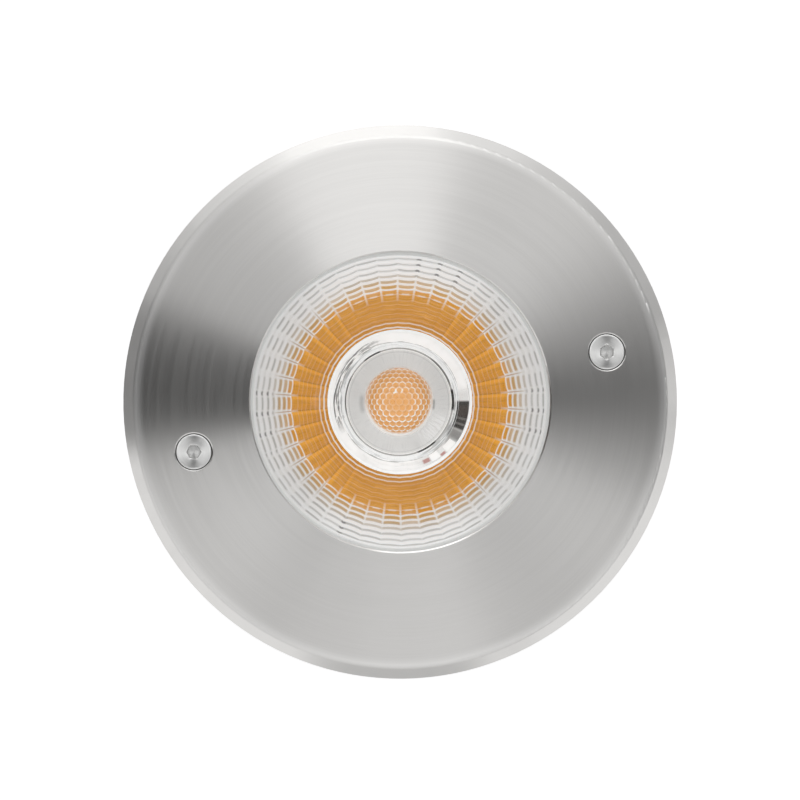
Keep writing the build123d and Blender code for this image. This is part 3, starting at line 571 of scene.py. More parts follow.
@dataclass(frozen=True)
class BrushedSteel:
    """The cover's stainless steel, brushed in circles and very slightly crowned, with painted shade and a ring of
    painted highlight. Sizes are in mm.
    """

    name: str = "cover_steel"
    colour: Colour = (0.775, 0.765, 0.75)
    dull: Colour = (0.75, 0.74, 0.725)
    rough: Span = (0.29, 0.34)
    rough_tones: Span = (0.2, 0.8)
    # Painted shade where the steel is seen edge-on.
    glancing_shade: Colour = (0.30, 0.295, 0.29)
    glancing_shade_ramp: Ramp = (0.5, 0.8, 0.0, 0.9)
    brush_pitch: float = 0.2
    brush_breaks: float = 3.0
    brush_depth: float = 0.006
    brush_strength: float = 0.5
    streaks: Span = (0.38, 0.62)
    cloud_size: float = 14.0
    cloud_contrast: float = 1.4
    cloud_share: float = 0.25
    # Painted shadow in the gap round each countersunk screw head.
    sink_shadow: Colour = grey(0.03)
    sink_edge: float = 3.84
    sink_soft: Span = (-0.06, 0.02)
    sink_dark: float = 0.93
    # A faint glowing ring of painted highlight near the rim.
    highlight_start: float = 52.6
    highlight_full: float = 54.5
    highlight_end: float = 55.2
    highlight_glow: float = 0.1
    round_start: float = 54.25
    round_end: float = 55.05
    round_soft: float = 0.1
    round_rough: float = 0.43
    crown: float = 0.13
    anisotropy: float = 0.985
    turn: float = 0.25

    def build(self) -> bpy.types.Material:
        """Returns the brushed steel as a material."""
        material, wiring, shader = new_material(self.name)
        lines = TurnedLines().put(wiring, Pitch=self.brush_pitch * MM, Breaks=self.brush_breaks)
        cloud = Mottling().put(wiring, Size=self.cloud_size * MM, Contrast=self.cloud_contrast)["Value"]
        streak = wiring.between(lines["Value"], *self.streaks)
        colour = wiring.mix(streak, self.colour, self.dull)
        colour = wiring.paint(colour, self.dull, cloud, self.cloud_share)
        # Painted shade: the steel is darker where it is seen edge-on.
        colour = wiring.mix(wiring.between(wiring.facing(), *self.glancing_shade_ramp), colour, self.glancing_shade)
        # Painted shadow in the gap round each screw head.
        across, away, _ = wiring.split(wiring.place())
        across = wiring.math("SUBTRACT", wiring.math("ABSOLUTE", across), SCREW_REACH * MM)
        inner, outer = ((self.sink_edge + soft) * MM for soft in self.sink_soft)
        gap = wiring.between(wiring.length(across, away), inner, outer, self.sink_dark, 0.0)
        reach = wiring.around(wiring.place())[0]
        rounded = wiring.band(reach, self.round_start * MM, self.round_end * MM, self.round_soft * MM)
        both = wiring.math("MULTIPLY_ADD", cloud, 0.5, wiring.times(streak, 0.5))
        rough = wiring.between(both, *self.rough_tones, *self.rough)
        scratches = wiring.bump(lines["Height"], self.brush_depth * MM, self.brush_strength)
        # Painted highlight: a faint glowing ring that rises towards the rim's rounding and fades past it.
        out = wiring.math("DIVIDE", reach, MM)
        shine = wiring.between(out, self.highlight_start, self.highlight_full, 0.0, self.highlight_glow)
        shine = wiring.times(shine, wiring.fall(out, self.highlight_full, self.highlight_end))
        values = {
            "Base Color": wiring.mix(gap, colour, self.sink_shadow),
            "Roughness": wiring.ease(rounded, rough, self.round_rough),
            "Normal": wiring.bump(wiring.times(reach, -self.crown), 1.0, under=scratches),
            "Tangent": wiring.add("ShaderNodeTangent", direction_type="RADIAL", axis="Z").outputs[0],
            "Metallic": 1.0,
            "Emission Color": wiring.grey(shine),
            "Emission Strength": 1.0,
            "Anisotropic": self.anisotropy,
            "Anisotropic Rotation": self.turn,
        }
        wiring.settle(shader, values)
        return material


@dataclass(frozen=True)
class ClearGlass:
    """Clear glass that lets the lamps' light and soft light through."""

    name: str = "window_glass"
    tint: Colour = (0.985, 0.99, 0.985)
    index: float = 1.46
    smear_size: float = 9.0
    smear_contrast: float = 1.2
    smears: Ramp = (0.4, 0.9, 0.0, 0.035)

    def build(self) -> bpy.types.Material:
        """Returns the glass as a material."""
        material, wiring, shader = new_material(self.name)
        smear = Mottling().put(wiring, Size=self.smear_size * MM, Contrast=self.smear_contrast)["Value"]
        values = {"Base Color": self.tint, "Transmission Weight": 1.0, "IOR": self.index}
        wiring.settle(shader, {**values, "Roughness": wiring.between(smear, *self.smears)})
        path = wiring.add("ShaderNodeLightPath").outputs
        soft = wiring.math("MAXIMUM", path["Is Shadow Ray"], path["Is Diffuse Ray"])
        wiring.surface(wiring.merge(soft, shader, wiring.add("ShaderNodeBsdfTransparent", {0: self.tint})))
        return material


@dataclass(frozen=True)
class FacetedOptic:
    """The optic's rows of facets, painted with reflections: white ridges and pale facets as painted highlights, darker
    dashes as painted shade, and amber near the middle as the phosphor's painted reflection.

    Rows are counted from the rim. A facet's aside is 0 at its middle and 1 at its seams. Side is 1 towards the
    photograph's left and right, and 0 towards its top and bottom.
    """

    name: str = "faceted_optic"
    # Colours of the painted reflections: white and pale highlights, darker dashes of shade, and the phosphor's amber.
    white: Colour = (0.935, 0.95, 0.975)
    pale: Colour = (0.86, 0.875, 0.89)
    dash_grey: Colour = (0.50, 0.505, 0.51)
    dash_brown: Colour = (0.54, 0.46, 0.36)
    dash_amber: Colour = (0.62, 0.38, 0.13)
    # The colour of the painted dark reflections.
    dark_reflection: Colour = (0.10, 0.10, 0.105)
    amber_side: Colour = (0.71, 0.325, 0.015)
    amber_end: Colour = (0.69, 0.335, 0.042)
    amber_dull: Colour = (0.63, 0.30, 0.045)
    seam_light: Colour = (0.86, 0.44, 0.04)
    seam_dark: Colour = (0.46, 0.19, 0.006)
    streak_light: Colour = (0.79, 0.44, 0.10)
    painted_glow: float = 0.29
    specular: float = 0.04
    grain: float = 0.12
    grain_depth: float = 0.004
    grain_strength: float = 0.3
    rough: Ramp = (0.3, 0.7, 0.2, 0.38)

    side_slope: Span = (0.2, 0.95)
    inner_start: Span = (6.97, 7.05)
    # Painted shade of the outer rows towards the photograph's left and right and towards its bottom.
    level_rows: Span = (5.5, 8.0)
    side_level: float = 0.80
    lower_rise: Span = (-0.9, -0.2)
    lower_level: float = 0.9

    dash_half: Ramp = (1.5, 6.5, 0.14, 0.33)
    dash_soft: Span = (-0.13, 0.13)
    dash_end: Span = (1.1, 0.72)
    dash_longer: Ramp = (3.0, 6.0, 0.0, 0.1)
    dash_longest: Ramp = (2.5, 4.5, 1.2, 0.98)
    dash_end_soft: Span = (-0.22, 0.06)
    dash_faintest: Ramp = (5.0, 6.0, 0.6, 0.86)
    brown_rows: Span = (2.7, 4.0)
    amber_rows: Span = (3.9, 5.1)
    side_rows: Span = (5.6, 6.1)
    pale_middle: Span = (0.1, 0.4)
    open_rows: Span = (6.6, 6.75)
    open_middle: Ramp = (0.35, 0.6, 0.35, 0.95)
    open_seam: Ramp = (0.82, 0.95, 1.0, 0.4)
    open_side: Span = (0.25, 0.7)
    seam_aside: Span = (0.9, 0.97)
    seam_side: Ramp = (0.3, 0.9, 0.0, 0.7)
    seam_rows: Span = (3.0, 5.0)
    seam_tint_rows: Span = (4.0, 6.5)
    # Painted dark reflections near the seams of the outer rows, at set azimuths.
    dark_reflection_aside: Span = (0.66, 0.92)
    dark_reflection_rows: Span = (2.6, 4.0)
    dark_reflection_soft: float = 4.0
    dark_reflection_share: float = 0.8
    dark_reflections: tuple[Span, ...] = ((74.0, 13.0), (-6.0, 12.0), (188.0, 14.0), (246.0, 5.0))

    fine_grid: Span = (11.0, 0.3)
    ring_grid: Span = (0.5, 6.0)
    cloud_grid: Span = (1.3, 0.6)
    fine_streaks: Span = (0.42, 0.66)
    fine_side: Span = (0.1, 0.45)
    flat_side: Span = (1.0, 0.45)
    ring_light: Ramp = (0.5, 0.62, 0.0, 0.85)
    ring_dark: Ramp = (0.36, 0.47, 0.45, 0.0)
    clouds: Ramp = (0.35, 0.65, 0.0, 0.3)
    dull_down: Ramp = (0.62, 0.95, 0.0, 0.6)
    light_start: Span = (0.04, 0.1)
    light_end: Span = (0.16, 0.42)
    light_side: Ramp = (0.1, 0.7, 0.0, 0.75)
    dark_aside: tuple[float, float, float] = (0.93, 1.1, 0.03)
    dark_side: Ramp = (0.1, 0.8, 0.05, 0.6)
    deep_rows: Ramp = (12.0, 12.6, 0.0, 0.25)
    first_band: tuple[float, float, float] = (6.9, 7.1, 0.07)
    first_aside: Ramp = (0.55, 0.85, 0.65, 0.38)
    first_side: Ramp = (0.1, 0.8, 1.0, 0.45)
    corner_aside: Span = (0.78, 0.95)
    corner_rows: Ramp = (7.2, 8.6, 0.4, 0.0)
    faint_band: tuple[float, float, float] = (7.8, 11.4, 0.3)
    faint_line: Ramp = (0.03, 0.12, 0.14, 0.0)
    line_rows: Ramp = (12.2, 13.5, 0.1, 0.92)
    line_start: Span = (11.6, 11.7)
    line_width: Span = (0.08, 0.24)

    def build(self) -> bpy.types.Material:
        """Returns the facets as a material that reads the rows and sectors from the UV map."""
        material, wiring, shader = new_material(self.name)
        sector, row = wiring.cells()
        azimuth = wiring.around(wiring.place())[1]
        angle = wiring.times(azimuth, TO_RADIANS)
        slope = wiring.math("COSINE", angle)
        side = wiring.between(wiring.math("ABSOLUTE", slope), *self.side_slope)
        through = wiring.math("FRACT", sector)
        down = wiring.math("MULTIPLY_ADD", wiring.math("SIGN", slope), wiring.math("SUBTRACT", 0.5, through), 0.5)
        aside = wiring.times(wiring.math("ABSOLUTE", wiring.math("SUBTRACT", through, 0.5)), 2.0)
        outer = self.outer_rows(wiring, sector, row, aside, side, azimuth)
        inner = self.inner_rows(wiring, sector, row, aside, down, side)
        body = wiring.mix(wiring.between(row, *self.inner_start), outer, inner)
        # Painted shade: the outer rows are darker towards the photograph's left and right and towards its bottom.
        white_rows = wiring.fall(row, *self.level_rows)
        level = wiring.ease(wiring.times(side, white_rows), 1.0, self.side_level)
        lower = wiring.times(wiring.fall(wiring.math("SINE", angle), *self.lower_rise), white_rows)
        level = wiring.times(level, wiring.ease(lower, 1.0, self.lower_level))
        # The facets get a painted glow of their own colour.
        wiring.glow(shader, wiring.mix(1.0, body, wiring.grey(level), Blend.MULTIPLY), self.painted_glow)
        speck = FineGrain().put(wiring, Size=self.grain * MM, Cells=0.0)
        values = {
            "Specular IOR Level": self.specular,
            "Roughness": wiring.between(speck["Value"], *self.rough),
            "Normal": wiring.bump(speck["Height"], self.grain_depth * MM, self.grain_strength),
        }
        wiring.settle(shader, values)
        return material

    def outer_rows(self, wiring: Wiring, sector: Value, row: Value, aside: Value, side: Value, azimuth: Value) -> Link:
        """Colours the white outer rows as painted highlights and their darker dashes as painted shade, which turn
        brown and amber towards the middle, with painted dark reflections.

        Args:
            wiring: the material's wiring.
            sector: the sector's number, with its fraction.
            row: the row's number, with its fraction.
            aside: 0 at a facet's middle and 1 at its seams.
            side: 1 towards the photograph's left and right, and 0 towards its top and bottom.
            azimuth: the photograph's azimuth in degrees.
        Returns:
            The colour's socket.
        """
        one = wiring.stretch(wiring.math("FLOOR", sector), wiring.math("FLOOR", row), 1.0, 1.0)
        chance = wiring.add("ShaderNodeTexWhiteNoise", {"Vector": one}, noise_dimensions="2D").outputs["Value"]
        off_middle = wiring.math("ABSOLUTE", wiring.math("SUBTRACT", wiring.math("FRACT", row), 0.5))
        tall = wiring.math("SUBTRACT", off_middle, wiring.between(row, *self.dash_half))
        tall = wiring.fall(tall, *self.dash_soft)
        end = wiring.math("ADD", wiring.ease(side, *self.dash_end), wiring.between(row, *self.dash_longer))
        end = wiring.math("MINIMUM", end, wiring.between(row, *self.dash_longest))
        long = wiring.fall(wiring.math("SUBTRACT", aside, end), *self.dash_end_soft)
        strong = wiring.ease(chance, wiring.between(row, *self.dash_faintest), 1.0)
        tint = self.dash_grey
        steps = (
            (self.brown_rows, self.dash_brown),
            (self.amber_rows, self.dash_amber),
            (self.side_rows, self.amber_side),
        )
        for rows, next_tint in steps:
            tint = wiring.mix(wiring.between(row, *rows), tint, next_tint)
        ground = wiring.mix(wiring.fall(off_middle, *self.pale_middle), self.white, self.pale)
        colour = wiring.paint(ground, tint, tall, long, strong)
        colour = wiring.paint(
            colour,
            self.amber_end,
            wiring.between(row, *self.open_rows),
            wiring.between(aside, *self.open_middle),
            wiring.between(aside, *self.open_seam),
            wiring.fall(side, *self.open_side),
        )
        seam = wiring.times(
            wiring.between(aside, *self.seam_aside),
            wiring.between(side, *self.seam_side),
            wiring.between(row, *self.seam_rows),
        )
        seam_tint = wiring.mix(wiring.between(row, *self.seam_tint_rows), self.dash_brown, self.seam_dark)
        colour = wiring.mix(seam, colour, seam_tint)
        # Painted dark reflections in the outer rows, at set azimuths near the facets' seams.
        dark = wiring.times(wiring.between(aside, *self.dark_reflection_aside), wiring.fall(row, *self.dark_reflection_rows), tall)
        for centre, half in self.dark_reflections:
            here = wiring.times(wiring.arc(azimuth, centre, half, self.dark_reflection_soft), self.dark_reflection_share)
            colour = wiring.paint(colour, self.dark_reflection, dark, here)
        return colour

    def inner_rows(self, wiring: Wiring, sector: Value, row: Value, aside: Value, down: Value, side: Value) -> Link:
        """Colours the amber inner rows, the phosphor's painted reflection, with their thin white ridges as painted
        highlights and their streaks as painted light and shade.

        Args:
            wiring: the material's wiring.
            sector: the sector's number, with its fraction.
            row: the row's number, with its fraction.
            aside: 0 at a facet's middle and 1 at its seams.
            down: 0 at the facet's edge nearer the photograph's top, and 1 at its other edge.
            side: 1 towards the photograph's left and right, and 0 towards its top and bottom.
        Returns:
            The colour's socket.
        """
        colour = wiring.mix(side, self.amber_end, self.amber_side)
        fine = wiring.noise(wiring.stretch(sector, row, *self.fine_grid))
        ring = wiring.noise(wiring.stretch(sector, row, *self.ring_grid), 3.0)
        cloud = wiring.noise(wiring.stretch(sector, row, *self.cloud_grid))
        flat = wiring.ease(side, *self.flat_side)
        within = wiring.math("FRACT", row)
        near_line = wiring.math("MINIMUM", within, wiring.math("SUBTRACT", 1.0, within))
        fine_share = wiring.ease(side, *self.fine_side)
        first = wiring.times(wiring.band(row, *self.first_band), wiring.between(aside, *self.first_aside))
        line = wiring.times(wiring.between(row, *self.line_rows), wiring.between(row, *self.line_start))
        # Painted light and shade in the inner rows: dark and light streaks and seams, and white ridge highlights.
        layers = (
            (self.seam_dark, wiring.between(fine, *self.fine_streaks), fine_share),
            (self.streak_light, wiring.between(ring, *self.ring_light), flat),
            (self.seam_dark, wiring.between(ring, *self.ring_dark), flat),
            (self.amber_dull, wiring.between(cloud, *self.clouds)),
            (self.amber_dull, wiring.between(down, *self.dull_down), side),
            (
                self.seam_light,
                wiring.between(down, *self.light_start),
                wiring.fall(down, *self.light_end),
                wiring.between(side, *self.light_side),
            ),
            (self.seam_dark, wiring.band(aside, *self.dark_aside), wiring.between(side, *self.dark_side)),
            (self.seam_dark, wiring.between(row, *self.deep_rows)),
            (self.white, first, wiring.between(side, *self.first_side)),
            (self.white, wiring.between(aside, *self.corner_aside), wiring.between(row, *self.corner_rows)),
            (self.white, wiring.band(row, *self.faint_band), wiring.between(near_line, *self.faint_line)),
            (self.white, line, wiring.fall(near_line, *self.line_width)),
        )
        for tint, *masks in layers:
            colour = wiring.paint(colour, tint, *masks)
        return colour


@dataclass(frozen=True)
class Patch:
    """A patch of painted reflection on the recess, darker or lighter, set by azimuth and by distance from the axis in
    mm.
    """

    azimuth: float
    half: float
    low: float
    high: float
    colour: Colour
    strength: float = 1.0
    soft: float = 6.0
    rim: float = 0.15
    streaky: bool = False


@dataclass(frozen=True)
class RecessFinish:
    """The glossy moulded recess, with painted reflections: the darker and lighter patches that its clear wall shows.
    """

    name: str = "recess_gloss"
    colour: Colour = (0.97, 0.97, 0.975)
    floor: Colour = (0.71, 0.705, 0.70)
    floor_edge: Span = (10.75, 10.9)
    painted_glow: float = 0.29
    streak_grid: Span = (0.055, 3.2)
    spoke_grid: Span = (0.5, 0.35)
    spoke_grey: Colour = grey(0.45)
    spoke_grey_range: Span = (0.45, 0.75)
    spoke_grey_share: float = 0.22
    broken: Ramp = (0.45, 0.54, 0.05, 1.0)
    radial: Ramp = (0.4, 0.6, 0.1, 1.0)
    wide: float = 2.0
    wall_facing: Span = (0.45, 0.7)
    wall_start: Span = (12.2, 12.4)
    coat_rough: float = 0.12
    coat: Ramp = (0.5, 0.85, 0.0, 0.18)
    rough: Ramp = (0.3, 0.7, 0.2, 0.35)
    wave_depth: float = 0.02
    wave_strength: float = 0.4
    # The painted reflections: dark blocks and arcs, grey streaks, white highlights and reddish glints.
    patches: tuple[Patch, ...] = (
        Patch(166.0, 36.0, 11.75, 13.75, grey(0.08), 0.9, 24.0, 0.4, True),
        Patch(131.0, 22.0, 12.1, 13.8, grey(0.12), 0.7, 20.0, 0.4, True),
        Patch(232.0, 30.0, 11.8, 12.7, grey(0.3), 0.6, 20.0, 0.3, True),
        Patch(75.0, 40.0, 11.55, 12.0, grey(0.5), 0.6, 20.0, 0.2, True),
        Patch(0.0, ALL_ROUND, 11.3, 12.4, grey(0.70), 0.5, 6.0, 0.1),
        Patch(0.0, ALL_ROUND, 12.3, 12.6, grey(0.34), 0.75, 6.0, 0.12, True),
        Patch(28.0, 34.0, 12.15, 12.3, grey(0.40), 0.7, 12.0, 0.1),
        Patch(262.0, 40.0, 12.7, 14.3, grey(0.72), 0.5, 14.0, 0.3, True),
        Patch(-50.0, 22.0, 12.0, 14.4, grey(0.62), 0.6, 10.0, 0.3),
        Patch(0.0, ALL_ROUND, 14.25, 14.45, (0.6, 0.58, 0.56), 0.4, 6.0, 0.12, True),
        Patch(5.0, 6.5, 12.2, 14.2, grey(0.60), 0.6, 7.0, 0.3),
        Patch(-30.0, 5.5, 11.9, 14.4, (0.15, 0.145, 0.14), 0.85, 6.0, 0.3),
        Patch(-38.0, 4.0, 12.5, 13.9, grey(0.34), 0.75, 7.0, 0.4),
        Patch(-12.0, 12.8, 12.0, 14.3, (0.028, 0.025, 0.022), 0.99, 2.5, 0.08),
        Patch(-8.0, 5.0, 12.2, 14.2, (0.06, 0.045, 0.038), 0.7, 4.0, 0.3),
        Patch(-4.0, 22.0, 14.3, 14.95, (0.42, 0.42, 0.415), 0.7, 12.0, 0.1),
        Patch(-15.0, 1.0, 12.3, 14.2, (0.17, 0.16, 0.15), 0.7, 1.2, 0.3),
        Patch(-20.0, 0.9, 12.2, 14.2, (0.20, 0.19, 0.18), 0.7, 1.2, 0.3),
        Patch(-41.0, 5.0, 12.9, 14.2, grey(1.0), 0.9, 2.0, 0.1),
        Patch(-57.0, 4.0, 12.7, 14.0, grey(1.0), 0.9, 2.0, 0.1),
        Patch(-65.5, 3.2, 13.0, 13.8, (0.40, 0.15, 0.13), 0.8, 2.0, 0.25),
        Patch(-50.0, 2.4, 13.7, 14.2, (0.40, 0.13, 0.11), 0.8, 2.0, 0.15),
        Patch(-8.0, 26.0, 11.3, 11.8, grey(0.25), 0.8, 14.0, 0.25, True),
        Patch(-45.0, 22.0, 11.3, 12.6, grey(0.35), 0.7, 14.0, 0.3, True),
        Patch(0.0, ALL_ROUND, 10.98, 11.28, (0.24, 0.24, 0.235), 0.85, 6.0, 0.08),
        Patch(36.0, 17.0, 10.98, 11.26, grey(0.10), 0.9, 8.0, 0.1),
        Patch(120.5, 10.0, 10.98, 11.3, grey(0.025), 0.97, 3.0, 0.1),
        Patch(2.5, 11.0, 10.98, 11.44, (0.015, 0.013, 0.012), 0.98, 3.0, 0.08),
        Patch(-58.5, 11.0, 10.98, 11.3, (0.025, 0.023, 0.02), 0.97, 4.0, 0.1),
        Patch(172.0, 20.0, 10.98, 11.3, grey(0.10), 0.85, 8.0, 0.1),
        Patch(0.0, ALL_ROUND, 10.32, 10.46, (0.46, 0.46, 0.455), 0.6, 6.0, 0.1),
        Patch(183.0, 13.0, 7.3, 8.2, (0.40, 0.40, 0.395), 0.6, 12.0, 0.7),
        Patch(-4.0, 8.0, 7.1, 7.5, (0.22, 0.22, 0.215), 0.7, 6.0, 0.3),
        Patch(-38.0, 22.0, 7.6, 10.4, grey(0.95), 0.6, 20.0, 0.8, True),
    )

    def build(self) -> bpy.types.Material:
        """Returns the recess gloss as a material."""
        material, wiring, shader = new_material(self.name)
        reach, azimuth, _ = wiring.around(wiring.place())
        reach = wiring.math("DIVIDE", reach, MM)
        streaks = wiring.noise(wiring.stretch(azimuth, reach, *self.streak_grid), 3.0)
        spokes = wiring.noise(wiring.stretch(azimuth, reach, *self.spoke_grid))
        colour = wiring.mix(wiring.between(reach, *self.floor_edge), self.floor, self.colour)
        # Grey radial spokes painted over the recess.
        colour = wiring.paint(colour, self.spoke_grey, wiring.between(spokes, *self.spoke_grey_range), self.spoke_grey_share)
        broken = wiring.between(streaks, *self.broken)
        radial = wiring.between(spokes, *self.radial)
        # Painted reflections on the wall show where it is seen edge-on, as from above; those nearer the axis than the
        # wall always show.
        level = wiring.fall(reach, *self.wall_start)
        mirrored = wiring.math("MAXIMUM", wiring.between(wiring.facing(), *self.wall_facing), level)
        for patch in self.patches:
            masks = [wiring.band(reach, patch.low, patch.high, patch.rim), mirrored]
            if patch.half != ALL_ROUND:
                masks.append(wiring.arc(azimuth, patch.azimuth, patch.half, patch.soft))
            if patch.streaky:
                masks.append(radial if patch.high - patch.low > self.wide else broken)
            colour = wiring.paint(colour, patch.colour, *masks, patch.strength)
        # The recess gets a painted glow of its own colour.
        wiring.glow(shader, colour, self.painted_glow)
        values = {
            "Specular IOR Level": 0.0,
            "Coat Roughness": self.coat_rough,
            "Coat Weight": wiring.between(wiring.split(colour)[0], *self.coat),
            "Roughness": wiring.between(streaks, *self.rough),
            "Normal": wiring.bump(streaks, self.wave_depth * MM, self.wave_strength),
        }
        wiring.settle(shader, values)
        return material


@dataclass(frozen=True)
class LensletFinish:
    """The bead of small lenses: amber in each lens, with a pale painted highlight on its outer edge that grows towards
    the bead's rim and its near side, painted shade on its inner side, and a painted glint.

    Out is 0 at a lens's middle and 1 at its edge, and outward is out along the way to the bead's rim. Reach is
    in mm from the bead's axis. Near is 1 on the side of the photograph's bottom.
    """

    name: str = "lenslet_bead"
    middle: Colour = (0.83, 0.375, 0.09)
    second: Colour = (0.80, 0.40, 0.13)
    # Deep is painted shade; edge and glint are painted highlights.
    deep: Colour = (0.60, 0.22, 0.035)
    line: Colour = (0.90, 0.60, 0.38)
    edge: Colour = (1.0, 0.985, 0.97)
    glint: Colour = (1.0, 0.96, 0.92)
    painted_glow: float = 0.2
    rough: Ramp = (0.2, 0.8, 0.08, 0.16)
    cloud_size: float = 1.6
    cloud_contrast: float = 2.0
    near_arc: tuple[float, float, float] = (272.0, 95.0, 90.0)
    outer: Span = (1.2, 4.6)
    seam: Span = (0.6, 0.98)
    seam_outer: Span = (0.35, 0.75)
    shade: Ramp = (-0.75, -0.1, 0.55, 0.0)
    shade_outer: Span = (0.6, 1.0)
    crescent_outward: Span = (0.25, 0.55)
    crescent_out: Span = (0.48, 0.72)
    crescent_near: Span = (0.65, 1.0)
    rim: Span = (6.1, 6.95)
    rim_near: Span = (0.15, 1.0)
    glint_band: tuple[float, float, float] = (2.0, 2.75, 0.2)
    glint_arc: tuple[float, float, float] = (98.0, 26.0, 8.0)
    glint_out: Span = (0.62, 0.8)
    glint_share: float = 0.85

    def build(self) -> bpy.types.Material:
        """Returns the bead's finish as a material that reads the lenses from the UV map."""
        material, wiring, shader = new_material(self.name)
        out, outward = wiring.cells()
        reach, azimuth, _ = wiring.around(wiring.place())
        reach = wiring.math("DIVIDE", reach, MM)
        cloud = Mottling().put(wiring, Size=self.cloud_size * MM, Contrast=self.cloud_contrast)["Value"]
        colour = wiring.mix(cloud, self.middle, self.second)
        near = wiring.arc(azimuth, *self.near_arc)
        outer = wiring.between(reach, *self.outer)
        crescent = wiring.times(
            wiring.between(outward, *self.crescent_outward), wiring.between(out, *self.crescent_out)
        )
        # Painted light and shade over the amber: lighter seams, painted shade on the lenses' inner sides, painted
        # highlights as crescents and along the rim, strongest on the near side, and a painted glint.
        layers = (
            (self.line, wiring.between(out, *self.seam), wiring.ease(outer, *self.seam_outer)),
            (self.deep, wiring.between(outward, *self.shade), wiring.ease(outer, *self.shade_outer)),
            (self.edge, crescent, wiring.times(outer, wiring.ease(near, *self.crescent_near))),
            (self.edge, wiring.between(reach, *self.rim), wiring.ease(near, *self.rim_near)),
            (
                self.glint,
                wiring.band(reach, *self.glint_band),
                wiring.arc(azimuth, *self.glint_arc),
                wiring.between(out, *self.glint_out),
                self.glint_share,
            ),
        )
        for tint, *masks in layers:
            colour = wiring.paint(colour, tint, *masks)
        # The bead gets a painted glow of its own colour.
        wiring.glow(shader, colour, self.painted_glow)
        wiring.settle(shader, {"Roughness": wiring.between(cloud, *self.rough)})
        return material


@dataclass(frozen=True)
class ClearSkin:
    """The optic's clear front skin, thin enough to be seen through as a sheen alone."""

    name: str = "clear_skin"
    colour: Colour = grey(0.02)
    smear_size: float = 6.0
    smear_contrast: float = 1.4
    rough: Ramp = (0.3, 0.8, 0.03, 0.12)
    cover: Ramp = (0.2, 0.8, 0.005, 0.02)

    def build(self) -> bpy.types.Material:
        """Returns the skin as a material."""
        material, wiring, shader = new_material(self.name)
        smear = Mottling().put(wiring, Size=self.smear_size * MM, Contrast=self.smear_contrast)["Value"]
        values = {"Roughness": wiring.between(smear, *self.rough), "Alpha": wiring.between(smear, *self.cover)}
        wiring.settle(shader, {"Base Color": self.colour, **values})
        return material


def mesh_object(
    name: str, points: Sequence, faces: Sequence, finish: bpy.types.Material, smooth: float = 40.0
) -> bpy.types.Object:
    """Makes a mesh object.

    Args:
        name: the object's name.
        points: its corners, in metres.
        faces: its faces as rows of corner numbers.
        finish: the material it wears.
        smooth: edges flatter than this many degrees are shaded smoothly.
    Returns:
        The new object, linked to the scene.
    """
    mesh = bpy.data.meshes.new(name)
    corners = [tuple(map(float, point)) for point in points]
    mesh.from_pydata(corners, [], [tuple(map(int, face)) for face in faces])
    mesh.validate()
    mesh.shade_smooth()
    mesh.set_sharp_from_angle(angle=math.radians(smooth))
    made = bpy.data.objects.new(name, mesh)
    made.data.materials.append(finish)
    bpy.context.scene.collection.objects.link(made)
    return made


def grid_faces(rows: int, columns: int, closed: bool = True) -> np.ndarray:
    """Returns the faces of a grid of points, rows by columns, whose columns may close on themselves.

    Args:
        rows: how many rows of points there are.
        columns: how many points a row has.
        closed: whether the last column joins the first.
    Returns:
        An array of four corner numbers a face.
    """
    across = np.arange(columns if closed else columns - 1)
    down, across = np.meshgrid(np.arange(rows - 1), across, indexing="ij")
    here, below, following = down * columns, (down + 1) * columns, (across + 1) % columns
    corners = (here + across, here + following, below + following, below + across)
    return np.stack(corners, axis=-1).reshape(-1, 4)


def add_cells(piece: bpy.types.Object, first: np.ndarray, second: np.ndarray, wrap: float = 0.0) -> None:
    """Gives a piece the UV map that its finish reads.

    Args:
        piece: the mesh object.
        first: the first value at each corner of the mesh.
        second: the second value at each.
        wrap: if not 0, the first value comes round to 0 at this one, and every face has four corners.
    """
    layer = piece.data.uv_layers.new(name="cells")
    numbers = np.empty(len(piece.data.loops), dtype=np.int64)
    piece.data.loops.foreach_get("vertex_index", numbers)
    values = first[numbers].copy()
    if wrap:
        corners = values.reshape(-1, 4)
        corners[corners.max(axis=1, keepdims=True) - corners > wrap / 2] += wrap
    layer.data.foreach_set("uv", np.stack([values, second[numbers]], axis=1).ravel())


@dataclass
class Lathe:
    """A turned shape: a profile of radii and heights in mm, carried round the upright axis."""

    profile: Sequence[Span]
    segments: int = 192

    def points(self) -> np.ndarray:
        """Returns the shape's points in metres."""
        profile = np.array(self.profile, dtype=float)
        turn = np.arange(self.segments) * 2 * math.pi / self.segments
        x, y = profile[:, :1] * np.cos(turn), profile[:, :1] * np.sin(turn)
        z = np.repeat(profile[:, 1:], self.segments, axis=1)
        return np.stack([x, y, z], axis=-1).reshape(-1, 3) * MM

    def build(self, name: str, finish: bpy.types.Material, smooth: float = 40.0) -> bpy.types.Object:
        """Returns the shape as a mesh object.

        Args:
            name: the object's name.
            finish: its material.
            smooth: edges flatter than this many degrees are shaded smoothly.
        """
        return mesh_object(name, self.points(), grid_faces(len(self.profile), self.segments), finish, smooth)


